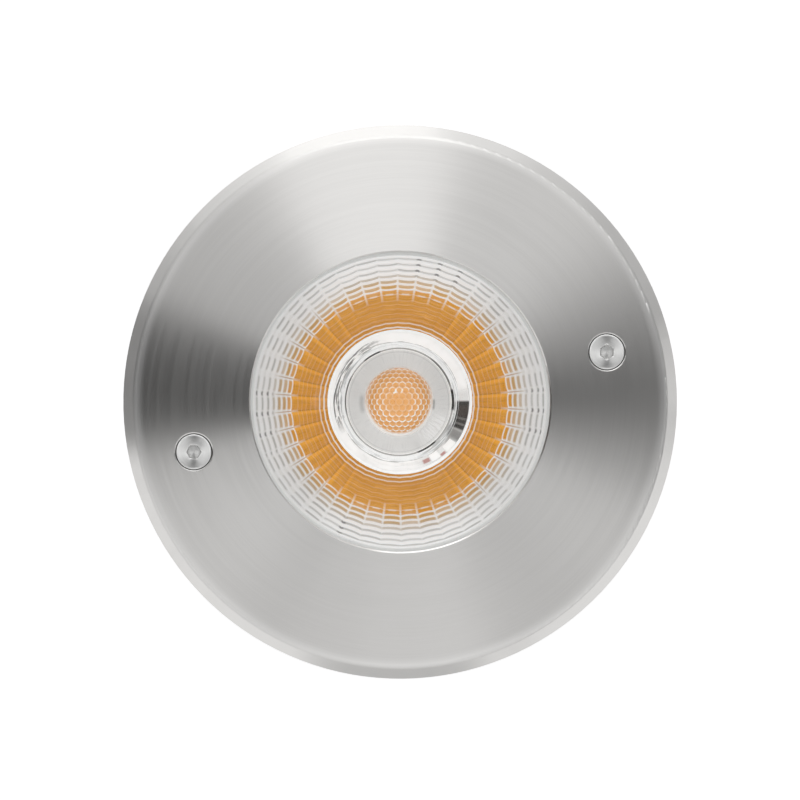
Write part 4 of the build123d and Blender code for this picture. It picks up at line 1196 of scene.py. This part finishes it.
@dataclass
class Optic:
    """The lamp's clear optic: faceted reflector, recess, bead of small lenses and front skin. Sizes are in mm."""

    sectors: int = 42
    rings: tuple[float, ...] = (
        29.98, 28.95, 27.76, 26.56, 25.44, 24.32, 23.29, 22.27, 20.91, 20.05, 19.18, 18.15, 17.13, 16.28,
        15.34, 14.4, 12.6, 10.8, 9.3,
    )
    rim_radius: float = 30.0
    skin_gap: float = 0.3
    eye_distance: float = 2000.0
    front: float = 109.25
    flange_radius: float = 33.0
    flange_bottom: float = 107.3
    flange_round: float = 0.2
    mouth_radius: float = 30.2
    mouth_round: float = 0.15
    foot_radius: float = 9.0
    foot: float = 79.6
    axis_radius: float = 0.01
    bulge: float = 0.22
    bulge_power: float = 2.2
    pillow: float = 0.16
    pillow_power: float = 0.8
    seam_drop: float = 0.7
    inner_row: float = 8.0
    inner_rows: float = 5.0
    inner_drop: float = 0.6
    growth: float = 0.12
    drift: float = 0.155
    drift_azimuth: float = 320.0
    across: int = 10
    along: int = 6
    skin_inner: tuple[Span, ...] = ((22.0, 0.0), (14.87, 0.02))
    well_outside: tuple[Span, ...] = ((7.6, 79.7), (7.6, 92.9), (11.2, 92.9), (14.9, 108.9))
    recess: tuple[Span, ...] = (
        (14.97, 109.2), (14.85, 109.25), (14.62, 109.1), (14.3, 108.2), (12.62, 99.2), (12.48, 98.6),
        (12.36, 98.3), (12.2, 98.35), (11.35, 97.9), (11.15, 97.7), (11.05, 97.2), (10.97, 93.9), (10.8, 93.45),
        (10.5, 93.3), (7.3, 93.3), (7.15, 93.1), (7.1, 92.6),
    )
    bead_radius: float = 7.05
    bead_top: float = 97.5
    bead_height: float = 4.2
    bead_skirt: float = 0.4
    bead_grid: tuple[int, int] = (110, 330)
    lens_pitch: float = 10.4
    lens_depth: float = 0.13
    lens_fade: float = 10.0

    def wall(self, reach: np.ndarray) -> np.ndarray:
        """Returns the height of the optic's parabolic wall at each distance from the axis."""
        share = (reach**2 - self.foot_radius**2) / (self.rim_radius**2 - self.foot_radius**2)
        return self.foot + (self.flange_bottom - self.foot) * share

    def seen_from_above(self, reach: np.ndarray) -> np.ndarray:
        """Returns the true radii on the wall of rings that the photograph shows at these radii."""
        return reach * (1 + (COVER_TOP - self.wall(reach)) / self.eye_distance)

    def facets(self, finish: bpy.types.Material) -> bpy.types.Object:
        """Builds the rows of facets, each one pillowed between ridges.

        Args:
            finish: the facets' material.
        Returns:
            The mesh object.
        """
        rows = np.linspace(0, len(self.rings) - 1, (len(self.rings) - 1) * self.along + 1)
        columns = np.arange(self.sectors * self.across) / self.across
        row, column = np.meshgrid(rows, columns, indexing="ij")
        off_rim = np.clip(row, 0, 1)
        reach = np.interp(row, np.arange(len(self.rings)), self.seen_from_above(np.array(self.rings)))
        aside = np.abs(2 * (column % 1) - 1)
        inner = np.clip((row - self.inner_row) / self.inner_rows, 0, 1)
        reach = reach - self.bulge * (1 - aside**self.bulge_power) * off_rim * (1 - self.inner_drop * inner)
        turn = column * 2 * math.pi / self.sectors
        lean = np.cos(turn + math.radians(VIEW_TURN - self.drift_azimuth))
        reach = reach + (self.growth + self.drift * lean) * off_rim
        swell = self.pillow * np.sin(math.pi * (row % 1)) ** self.pillow_power * (1 - self.seam_drop * aside**4)
        height = self.wall(reach) + self.skin_gap + (self.pillow - swell) * off_rim
        points = np.stack([reach * np.cos(turn), reach * np.sin(turn), height], axis=-1).reshape(-1, 3) * MM
        faces = grid_faces(len(rows), len(columns))[:, ::-1]
        piece = mesh_object("optic_facets", points, faces, finish, 60)
        add_cells(piece, column.ravel(), row.ravel(), self.sectors)
        return piece

    def shell(self, finish: bpy.types.Material) -> bpy.types.Object:
        """Builds the optic's outside and its flange, which the holder hides at rest.

        Args:
            finish: the shell's material.
        Returns:
            The mesh object.
        """
        reach = np.linspace(self.foot_radius, self.rim_radius, 14)
        inside = self.flange_radius - self.flange_round
        profile = [
            (self.axis_radius, self.foot),
            *zip(reach, self.wall(reach)),
            (inside, self.flange_bottom),
            (self.flange_radius, self.flange_bottom + self.flange_round),
            (self.flange_radius, self.front - self.flange_round),
            (inside, self.front),
            (self.mouth_radius + self.mouth_round, self.front),
            (self.mouth_radius, self.front - self.mouth_round),
            (self.mouth_radius, self.flange_bottom + self.skin_gap),
        ]
        return Lathe(profile, self.sectors * 4).build("optic_shell", finish)

    def skin(self, finish: bpy.types.Material) -> bpy.types.Object:
        """Builds the clear front skin between the flange and the recess.

        Args:
            finish: the skin's material.
        Returns:
            The mesh object.
        """
        inner = [(reach, self.front + lift) for reach, lift in self.skin_inner]
        return Lathe([(self.mouth_radius, self.front - 0.05), *inner]).build("optic_skin", finish)

    def well(self, finish: bpy.types.Material) -> bpy.types.Object:
        """Builds the recess, with its outer wall down to the facets.

        Args:
            finish: the recess's material.
        Returns:
            The mesh object.
        """
        return Lathe([*self.well_outside, *self.recess], 240).build("optic_recess", finish, 50)

    def bead(self, finish: bpy.types.Material) -> bpy.types.Object:
        """Builds the bead: a ball's cap covered in small six-sided lenses.

        Args:
            finish: the bead's material.
        Returns:
            The mesh object.
        """
        rows, columns = self.bead_grid
        ball = (self.bead_radius**2 + self.bead_height**2) / (2 * self.bead_height)
        bent = math.asin(self.bead_radius / ball) * np.linspace(1.0, 0.0, rows)[:, None] * np.ones(columns)
        turn = np.arange(columns) * 2 * math.pi / columns * np.ones((rows, 1))
        lean = turn + math.radians(VIEW_TURN)
        right, up = bent * np.cos(lean), bent * np.sin(lean)
        pitch = math.radians(self.lens_pitch)
        step = pitch * math.sqrt(3)
        nearest, out, outward = np.full(bent.shape, np.inf), np.zeros(bent.shape), np.zeros(bent.shape)
        for shift in (0.0, 0.5):
            aside = ((right / pitch + shift + 0.5) % 1 - 0.5) * pitch
            above = ((up / step + shift + 0.5) % 1 - 0.5) * step
            distance = np.hypot(aside, above)
            spokes = [abs(aside * math.cos(angle) + above * math.sin(angle)) for angle in np.radians((0, 60, 120))]
            nearer = distance < nearest
            nearest = np.where(nearer, distance, nearest)
            out = np.where(nearer, np.max(spokes, axis=0) / (pitch / 2), out)
            outward = np.where(nearer, (aside * np.cos(lean) + above * np.sin(lean)) / (pitch / 2), outward)
        swell = self.lens_depth * (1 - (nearest / (pitch / math.sqrt(3))) ** 2) - self.lens_depth
        reach = ball + swell * np.clip((1 - bent / bent.max()) * self.lens_fade, 0, 1)
        x, y = reach * np.sin(bent) * np.cos(turn), reach * np.sin(bent) * np.sin(turn)
        height = self.bead_top - ball + reach * np.cos(bent)
        points = np.stack([x, y, height], axis=-1).reshape(-1, 3) * MM
        skirt_foot = self.bead_top - self.bead_height - self.bead_skirt
        points = np.concatenate([Lathe([(self.bead_radius, skirt_foot)], columns).points(), points])
        piece = mesh_object("optic_bead", points, grid_faces(rows + 1, columns), finish, 80)
        blank = np.ones(columns)
        out, outward = np.clip(out, 0, 1).ravel(), outward.ravel()
        add_cells(piece, np.concatenate([blank, out]), np.concatenate([blank, outward]))
        return piece

    def build(self, finishes: "Finishes") -> list[bpy.types.Object]:
        """Builds the whole optic.

        Args:
            finishes: the light's materials.
        Returns:
            Its pieces.
        """
        pieces = [
            self.facets(finishes.made("faceted_optic")),
            self.shell(finishes.made("optic_shell")),
            self.well(finishes.made("recess_gloss")),
            self.bead(finishes.made("lenslet_bead")),
            self.skin(finishes.made("clear_skin")),
        ]
        for piece in pieces:
            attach(piece, "lamp_unit")
            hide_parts("collimator_optic")
        return pieces


@dataclass
class CoverScrew:
    """One of the cover's two countersunk socket screws. Sizes are in mm."""

    side: Side
    hex_turn: float
    tip: float = 98.3
    tip_radius: float = 1.2
    tip_bevel: float = 0.5
    axis_radius: float = 0.01
    head_radius: float = 3.62
    shank_radius: float = 1.62
    shank_start: float = 2.7
    thread_radius: float = 1.98
    thread_start: float = 3.2
    thread_end: float = 0.35
    pitch: float = 0.7
    socket_flats: float = 2.5
    socket_depth: float = 1.7
    socket_dish: float = 0.08
    dish_share: float = 0.8
    socket_edge: tuple[Span, ...] = ((0.0, 0.28), (0.01, 0.22), (0.14, 0.08))
    socket_lip: Span = (0.17, 0.065)
    lip_least: float = 0.1
    head_face: tuple[Span, ...] = ((1.85, 0.05), (2.3, 0.035), (2.8, 0.03), (3.2, 0.035))
    head_edge: tuple[Span, ...] = ((-0.09, 0.04), (-0.02, 0.08), (0.0, 0.12), (0.0, 0.38))
    cone_end: Span = (2.0, 2.0)
    segments: int = 96

    def head(self, finish: bpy.types.Material) -> bpy.types.Object:
        """Builds the head with its hexagon socket, down to the shank's tip.

        Args:
            finish: the steel's material.
        Returns:
            The mesh object.
        """
        corner = self.socket_flats / math.sqrt(3)
        turn = np.arange(self.segments) * 2 * math.pi / self.segments
        sixth = math.pi / 6
        from_corner = (turn - math.radians(self.hex_turn) + sixth) % (2 * sixth) - sixth
        flats = (self.socket_flats / 2) / np.cos(sixth - np.abs(from_corner))
        lip, lip_depth = self.socket_lip
        rows = [
            (0.0, self.socket_depth + self.socket_dish),
            (0.9 * corner * self.dish_share, self.socket_depth),
            (flats, self.socket_depth),
            *((flats + out, depth) for out, depth in self.socket_edge),
            (np.maximum(flats + lip, corner + self.lip_least), lip_depth),
            *self.head_face,
            *((self.head_radius + out, depth) for out, depth in self.head_edge),
            self.cone_end,
            (self.shank_radius, self.shank_start),
            (self.shank_radius, COVER_TOP - self.tip - self.tip_bevel),
            (self.tip_radius, COVER_TOP - self.tip),
            (self.axis_radius, COVER_TOP - self.tip),
        ]
        points = []
        for reach, depth in rows:
            x, y = self.side.reach() + reach * np.cos(turn), reach * np.sin(turn)
            points.append(np.stack([x, y, np.full(self.segments, COVER_TOP - depth)], axis=-1))
        faces = grid_faces(len(rows), self.segments)[:, ::-1]
        return mesh_object(f"cover_screw_{self.side.value}_head", np.concatenate(points) * MM, faces, finish, 35)

    def thread(self, finish: bpy.types.Material) -> bpy.types.Object:
        """Builds the thread as a true helix on the shank.

        Args:
            finish: the steel's material.
        Returns:
            The mesh object.
        """
        low, high = self.tip + self.thread_end, COVER_TOP - self.thread_start
        thread = Thread(self.shank_radius, self.thread_radius, self.pitch, low, high, self.side.reach())
        return thread.build(f"cover_screw_{self.side.value}_thread", finish)

    def build(self, finishes: "Finishes") -> list[bpy.types.Object]:
        """Builds the screw.

        Args:
            finishes: the light's materials.
        Returns:
            Its pieces.
        """
        steel = finishes.made(f"screw_head_{self.side.value}")
        pieces = [self.head(steel), self.thread(steel)]
        for piece in pieces:
            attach(piece, f"cover_screw_{self.side.value}")
            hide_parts(f"cover_screw_{self.side.value}")
        return pieces


@dataclass
class Thread:
    """A screw thread: a helical ridge with flat crest. Sizes are in mm, and the section's heights in pitches."""

    root: float
    crest: float
    pitch: float
    low: float
    high: float
    x: float
    around: int = 36
    least: float = 0.05
    sunk: float = 0.03
    foot_half: float = 0.46
    root_half: float = 0.42
    crest_half: float = 0.08

    def build(self, name: str, finish: bpy.types.Material) -> bpy.types.Object:
        """Returns the thread as a mesh object.

        Args:
            name: the object's name.
            finish: its material.
        """
        turns = (self.high - self.low - self.pitch) / self.pitch
        count = int(turns * self.around) + 1
        step = np.arange(count)
        turn = step * 2 * math.pi / self.around
        height = self.low + self.pitch / 2 + step * self.pitch / self.around
        fade = np.clip(np.minimum(step, count - 1 - step) / (self.around / 2), self.least, 1)
        half = ((self.root - self.sunk, self.foot_half), (self.root, self.root_half), (self.crest, self.crest_half))
        section = [(reach, -lift) for reach, lift in half] + list(reversed(half))
        rows = []
        for reach, lift in section:
            out = self.root + (reach - self.root) * fade
            x, y = self.x + out * np.cos(turn), out * np.sin(turn)
            rows.append(np.stack([x, y, height + lift * self.pitch], axis=-1))
        return mesh_object(name, np.concatenate(rows) * MM, grid_faces(len(section), count, False), finish, 30)


@dataclass
class Finishes:
    """All the light's materials, each made once, and the nodes that wear them."""

    built: dict[str, bpy.types.Material] = field(default_factory=dict)

    def metals(self) -> Iterable[Finish]:
        """Yields the metals that are cast, plated, drawn or turned."""
        metal = {"metallic": 1.0}
        yield Finish("cast_aluminium", (0.50, 0.50, 0.495), grey(0.40), (0.42, 0.6), mottle=5, grain=0.5,
                     cells=0.9, depth=0.035, worn=(0.68, 0.68, 0.67), dust=0.15, **metal)
        yield Finish("brass", (0.72, 0.48, 0.18), (0.6, 0.38, 0.13), (0.22, 0.4), mottle=3, grain=0.2,
                     depth=0.006, wear=0.4, worn=(0.85, 0.65, 0.32), dust=0.05, **metal)
        yield Finish("nickel_brass", (0.52, 0.50, 0.46), (0.44, 0.42, 0.38), (0.3, 0.42), mottle=6, grain=0.2,
                     depth=0.006, wear=0.08, worn=(0.78, 0.7, 0.5), dust=0.04, **metal)
        yield Finish("screw_steel", (0.56, 0.56, 0.55), (0.48, 0.48, 0.47), (0.22, 0.38), mottle=4, grain=0.12,
                     depth=0.005, wear=0.12, worn=(0.75, 0.75, 0.74), dust=0.03, **metal)
        yield Finish("spring_steel", (0.5, 0.5, 0.49), grey(0.38), (0.2, 0.4), mottle=6, grain=0.1,
                     depth=0.004, wear=0.12, worn=grey(0.7), dust=0.03, **metal)
        yield Finish("steel_fixings", (0.55, 0.54, 0.5), (0.46, 0.45, 0.42), (0.25, 0.4), mottle=2, grain=0.1,
                     depth=0.004, wear=0.4, worn=(0.8, 0.8, 0.78), **metal)
        for side in Side:
            yield TurnedMetal(f"screw_head_{side.value}", (0.90, 0.90, 0.89), (0.84, 0.84, 0.83), (0.33, 0.4),
                              mottle=2.5, grain=0.12, depth=0.0008, wear=0.0, dust=0.0, anisotropy=0.88,
                              centre=(side.reach(), 0.0), pitch=0.09, breaks=2.0, **metal)

    def plastics(self) -> Iterable[Finish]:
        """Yields the plastics and rubbers."""
        # The optic's shell has a painted glow, which lifts it out of the cover's shade.
        yield Finish("optic_shell", grey(0.80), grey(0.73), (0.12, 0.25), mottle=3, grain=0.15, depth=0.004,
                     wear=0, dust=0, painted_glow=0.3)
        yield Finish("sleeve_plastic", (0.018, 0.018, 0.019), (0.026, 0.026, 0.027), (0.42, 0.6), grain=0.45,
                     cells=0.7, depth=0.03, wear=0.35, worn=grey(0.09), dust=0.12)
        yield Finish("seal_rubber", (0.02, 0.02, 0.021), (0.035, 0.034, 0.034), (0.62, 0.8), grain=0.25,
                     depth=0.015, wear=0.2, worn=grey(0.07), dust=0.25, sheen=0.1)
        yield Finish("silicone", (0.62, 0.62, 0.60), (0.54, 0.54, 0.52), (0.45, 0.6), mottle=3, grain=0.2,
                     depth=0.008, wear=0.1, worn=grey(0.7), subsurface=0.1)
        yield Finish("holder_plastic", grey(0.03), grey(0.045), (0.4, 0.55), grain=0.3, cells=0.5, depth=0.015)
        yield Finish("clamp_plastic", (0.75, 0.74, 0.70), (0.68, 0.67, 0.63), (0.35, 0.5), mottle=4, grain=0.2,
                     depth=0.008, wear=0.1, worn=(0.8, 0.8, 0.78))
        wire = {"rough": (0.3, 0.42), "mottle": 2, "grain": 0.15, "depth": 0.006, "wear": 0.1}
        yield Finish("red_wire", (0.55, 0.025, 0.02), (0.45, 0.02, 0.018), worn=(0.6, 0.1, 0.08), **wire)
        yield Finish("black_wire", (0.02, 0.02, 0.021), (0.03, 0.03, 0.031), worn=grey(0.08), **wire)

    def electrics(self) -> Iterable[Finish]:
        """Yields the finishes of the light source's and the driver's pieces."""
        yield Finish("chip_ceramic", (0.78, 0.78, 0.75), (0.7, 0.7, 0.68), (0.3, 0.45), mottle=3, grain=0.1,
                     depth=0.004, wear=0.1)
        yield Finish("phosphor", (0.85, 0.55, 0.06), (0.8, 0.48, 0.05), (0.45, 0.6), mottle=1.5, grain=0.08,
                     depth=0.006, wear=0.0, dust=0.0, coat=0.3)
        yield Finish("heat_pad", (0.32, 0.38, 0.42), (0.27, 0.33, 0.37), (0.6, 0.75), mottle=2, grain=0.15,
                     depth=0.01, wear=0.0)
        yield Finish("board_laminate", (0.02, 0.16, 0.06), (0.015, 0.11, 0.045), (0.25, 0.4), mottle=4,
                     grain=0.25, cells=0.3, depth=0.008, wear=0.1, worn=(0.2, 0.35, 0.2), coat=0.3)
        yield Finish("ferrite", (0.05, 0.048, 0.046), (0.075, 0.072, 0.07), mottle=1.5, grain=0.12, depth=0.01,
                     wear=0.4, worn=grey(0.18))
        yield Finish("winding_tape", (0.72, 0.5, 0.04), (0.62, 0.42, 0.03), (0.25, 0.4), mottle=3, grain=0.3,
                     depth=0.008, wear=0.05, coat=0.2)
        yield Finish("capacitor_sleeve", (0.02, 0.022, 0.03), (0.03, 0.034, 0.05), (0.18, 0.3), mottle=3,
                     grain=0.2, depth=0.004, wear=0.15, worn=(0.2, 0.2, 0.22), coat=0.3)
        yield Finish("epoxy_black", (0.022, 0.022, 0.023), (0.035, 0.035, 0.036), (0.4, 0.55), mottle=1.5,
                     grain=0.1, depth=0.008, wear=0.2, worn=grey(0.12))
        yield Finish("varistor_blue", (0.02, 0.12, 0.42), (0.016, 0.09, 0.34), (0.3, 0.45), mottle=2, grain=0.2,
                     depth=0.01, wear=0.1, worn=(0.15, 0.25, 0.5))
        yield Finish("terminal_green", (0.02, 0.30, 0.10), (0.016, 0.24, 0.08), (0.35, 0.5), mottle=2,
                     grain=0.2, depth=0.008, wear=0.15, worn=(0.2, 0.45, 0.25))

    def every(self) -> list:
        """Returns each finish, not yet built."""
        own = [BrushedSteel(), ClearGlass(), FacetedOptic(), RecessFinish(), LensletFinish(), ClearSkin()]
        return [*own, *self.metals(), *self.plastics(), *self.electrics()]

    def made(self, name: str) -> bpy.types.Material:
        """Returns the material of that name."""
        return self.built[name]

    def build(self) -> "Finishes":
        """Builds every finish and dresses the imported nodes, each in the finish of its record slot.

        Returns:
            This object.
        """
        for finish in self.every():
            self.built[finish.name] = finish.build()
        for name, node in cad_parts.items():
            for number, material in enumerate(node.data.materials):
                slot = material.name.split(".")[0]
                if slot not in self.built:
                    slot = "screw_steel" if "screw" in slot else "optic_shell"
                    LOG.info("node %s keeps the finish %s", name, slot)
                node.material_slots[number].material = self.built[slot]
        return self


@dataclass(frozen=True)
class Card:
    """A dark card of the studio, by the photograph's azimuth and by height above the horizon, in degrees."""

    azimuth: float
    half: float
    soft: float
    dark: float
    low: float = -20.0
    high: float = 100.0
    fade: float = 12.0


@dataclass(frozen=True)
class Lamp:
    """A soft lamp that faces the light, by the photograph's azimuth and height above the horizon in degrees."""

    name: str
    azimuth: float
    rise: float
    size: Span
    level: float
    distance: float = 2.4
    aim: float = 0.1


@dataclass
class Studio:
    """Plain pale floor, white surround, two soft lamps, dark cards that only metal and glass see, and the camera."""

    ambient: float = 0.62
    floor_radius: float = 0.45
    floor_drop: float = 0.02
    floor_rings: int = 12
    floor_grey: Colour = grey(0.82)
    floor_dim: Colour = grey(0.36)
    floor_rough: float = 0.9
    floor_glow: float = 0.84
    floor_fade: Span = (0.75, 0.98)
    segments: int = 96
    card_distance: float = 3.2
    dome: tuple[float, float, int] = (-12.0, 89.9, 24)
    camera_distance: float = 2.0
    frame_width: float = 0.1645
    sensor: float = 36.0
    sight: Span = (0.05, 20.0)
    offset: Span = (-0.08, 0.39)
    lean: Span = (-0.0132, 0.0)
    lamps: tuple[Lamp, ...] = (
        Lamp("lamp_far", 98.0, 32.0, (1.45, 2.2), 1.3),
        Lamp("lamp_near", 268.0, 40.0, (1.5, 1.0), 0.715),
    )
    cards: tuple[Card, ...] = (
        Card(8.0, 20.5, 36.0, 0.87, 14.0),
        Card(30.0, 16.0, 20.0, 0.6, -20.0, 24.0),
        Card(174.1, 16.1, 7.0, 1.0),
        Card(145.0, 16.0, 24.0, 0.3),
        Card(157.0, 12.0, 14.0, 0.6, -20.0, 22.0),
        Card(50.0, 12.0, 14.0, 0.42, -20.0, 22.0),
        Card(276.0, 42.0, 40.0, 0.34, 25.0),
        Card(270.0, 17.0, 12.0, 0.72, -20.0, 22.0),
        Card(0.0, ALL_ROUND, 1.0, 0.9, 81.0, 100.0, 8.0),
    )

    def point(self, right: float, up: float, height: float) -> Vector:
        """Turns a place in the photograph's axes into the row frame.

        Args:
            right: metres to the photograph's right.
            up: metres towards its top.
            height: metres above the floor.
        Returns:
            The place in the row frame.
        """
        cosine, sine = math.cos(math.radians(-VIEW_TURN)), math.sin(math.radians(-VIEW_TURN))
        return Vector((right * cosine - up * sine, right * sine + up * cosine, height))

    def world(self) -> None:
        """Makes the surround: white to the camera, metal and glass, and plain soft light to everything else."""
        world = bpy.data.worlds.new("studio")
        bpy.context.scene.world = world
        world.use_nodes = True
        wiring = Wiring(world.node_tree)
        soft = world.node_tree.nodes["Background"]
        wiring.settle(soft, {"Color": grey(1.0), "Strength": self.ambient})
        white = wiring.add("ShaderNodeBackground", {"Color": grey(1.0), "Strength": 1.0})
        wiring.surface(wiring.merge(wiring.seen(), soft, white), "World Output")

    def floor(self) -> bpy.types.Object:
        """Lays the pale floor, which shows white and keeps the light's shadow.

        Returns:
            The floor.
        """
        material, wiring, shader = new_material("floor_white")
        wiring.settle(shader, {"Base Color": self.floor_grey, "Roughness": self.floor_rough})
        seen = wiring.seen()
        edge = wiring.between(
            wiring.around(wiring.place())[0], *(share * self.floor_radius for share in self.floor_fade)
        )
        glow = wiring.add("ShaderNodeEmission", {"Strength": self.floor_glow})
        dim = wiring.add("ShaderNodeBsdfDiffuse", {"Color": self.floor_dim})
        lit = wiring.add("ShaderNodeAddShader", {0: glow.outputs[0], 1: dim.outputs[0]})
        white = wiring.add("ShaderNodeEmission", {"Strength": 1.0})
        wiring.surface(wiring.merge(wiring.times(edge, seen), wiring.merge(seen, shader, lit), white))
        widths = np.linspace(0.0, self.floor_radius / MM, self.floor_rings + 1)
        widths[0] = 0.01
        floor = Lathe([(width, -self.floor_drop) for width in widths], self.segments).build("floor", material)
        floor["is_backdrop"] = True
        return floor

    def dark_cards(self) -> bpy.types.Object:
        """Hangs the dark cards round the light, on one dome that only reflections see.

        Returns:
            The dome.
        """
        material, wiring, _ = new_material("dark_cards")
        away, azimuth, height = wiring.around(wiring.place())
        rise = wiring.times(wiring.math("ARCTAN2", height, away), TO_DEGREES)
        clear: Value = 1.0
        for card in self.cards:
            area = wiring.band(rise, card.low, card.high, card.fade)
            if card.half != ALL_ROUND:
                area = wiring.times(area, wiring.arc(azimuth, card.azimuth, card.half, card.soft))
            clear = wiring.times(clear, wiring.math("SUBTRACT", 1.0, wiring.times(area, card.dark)))
        black = wiring.add("ShaderNodeBsdfDiffuse", {"Color": grey(0.0)})
        wiring.surface(wiring.merge(clear, black, wiring.add("ShaderNodeBsdfTransparent")))
        reach = self.card_distance / MM
        profile = [(reach * math.cos(angle), reach * math.sin(angle)) for angle in np.radians(np.linspace(*self.dome))]
        dome = Lathe(profile, self.segments).build("dark_cards", material)
        for sight in ("camera", "diffuse", "transmission", "volume_scatter", "shadow"):
            setattr(dome, f"visible_{sight}", False)
        dome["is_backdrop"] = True
        return dome

    def hang(self, lamp: Lamp) -> None:
        """Hangs one soft lamp, which the camera doesn't see.

        Args:
            lamp: the lamp to hang.
        """
        data = bpy.data.lights.new(lamp.name, "AREA")
        data.shape = "RECTANGLE"
        data.size, data.size_y = lamp.size
        data.energy = lamp.level * math.pi * math.prod(lamp.size)
        hung = bpy.data.objects.new(lamp.name, data)
        turn, up = math.radians(lamp.azimuth), math.radians(lamp.rise)
        flat = lamp.distance * math.cos(up)
        height = lamp.distance * math.sin(up) + lamp.aim
        hung.location = self.point(flat * math.cos(turn), flat * math.sin(turn), height)
        hung.rotation_euler = (Vector((0, 0, lamp.aim)) - hung.location).to_track_quat("-Z", "Y").to_euler()
        hung.visible_camera = False
        bpy.context.scene.collection.objects.link(hung)

    def camera(self, top: float) -> bpy.types.Object:
        """Sets the camera straight above, turned and leant as the photograph's was.

        Args:
            top: the height of the cover's top, in metres.
        Returns:
            The camera.
        """
        data = bpy.data.cameras.new("camera")
        data.sensor_width = self.sensor
        data.lens = self.sensor * self.camera_distance / self.frame_width
        data.clip_start, data.clip_end = self.sight
        camera = bpy.data.objects.new("camera", data)
        target = self.point(self.offset[0] * MM, self.offset[1] * MM, top)
        right, up = (share * self.camera_distance for share in self.lean)
        camera.location = target + self.point(right, up, self.camera_distance)
        look = (target - camera.location).normalized()
        right = look.cross(self.point(0.0, 1.0, 0.0)).normalized()
        up = right.cross(look)
        matrix = camera.matrix_world.copy()
        for row in range(3):
            for column, value in enumerate((right[row], up[row], -look[row], camera.location[row])):
                matrix[row][column] = value
        camera.matrix_world = matrix
        bpy.context.scene.collection.objects.link(camera)
        bpy.context.scene.camera = camera
        return camera

    def build(self, top: float) -> None:
        """Builds the whole studio.

        Args:
            top: the height of the cover's top, in metres.
        """
        self.world()
        self.floor()
        self.dark_cards()
        for lamp in self.lamps:
            self.hang(lamp)
        self.camera(top)
        bpy.context.scene.view_settings.view_transform = "Standard"


def write_sizes() -> None:
    """Works out the CAD box and the visual model's box as plain lists, without writing them."""
    boxes = {"cad": CAD_BOX, "visual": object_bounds()}
    plain = {name: [list(map(float, corner)) for corner in box] for name, box in boxes.items()}


def main() -> None:
    """Builds the scene's pieces in order and reports each."""
    logging.basicConfig(level=logging.INFO, format="%(name)s: %(message)s")
    finishes = Finishes().build()
    LOG.info("%d finishes made", len(finishes.built))
    parts = (Optic(), CoverScrew(Side.LEFT, 46.4), CoverScrew(Side.RIGHT, 16.4))
    for part in parts:
        for piece in part.build(finishes):
            LOG.info("%s: %d corners", piece.name, len(piece.data.vertices))
    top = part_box("cover_ring")[1].z
    Studio().build(top)
    LOG.info("studio and camera set")
    write_sizes()


if __name__ == "__main__":
    main()
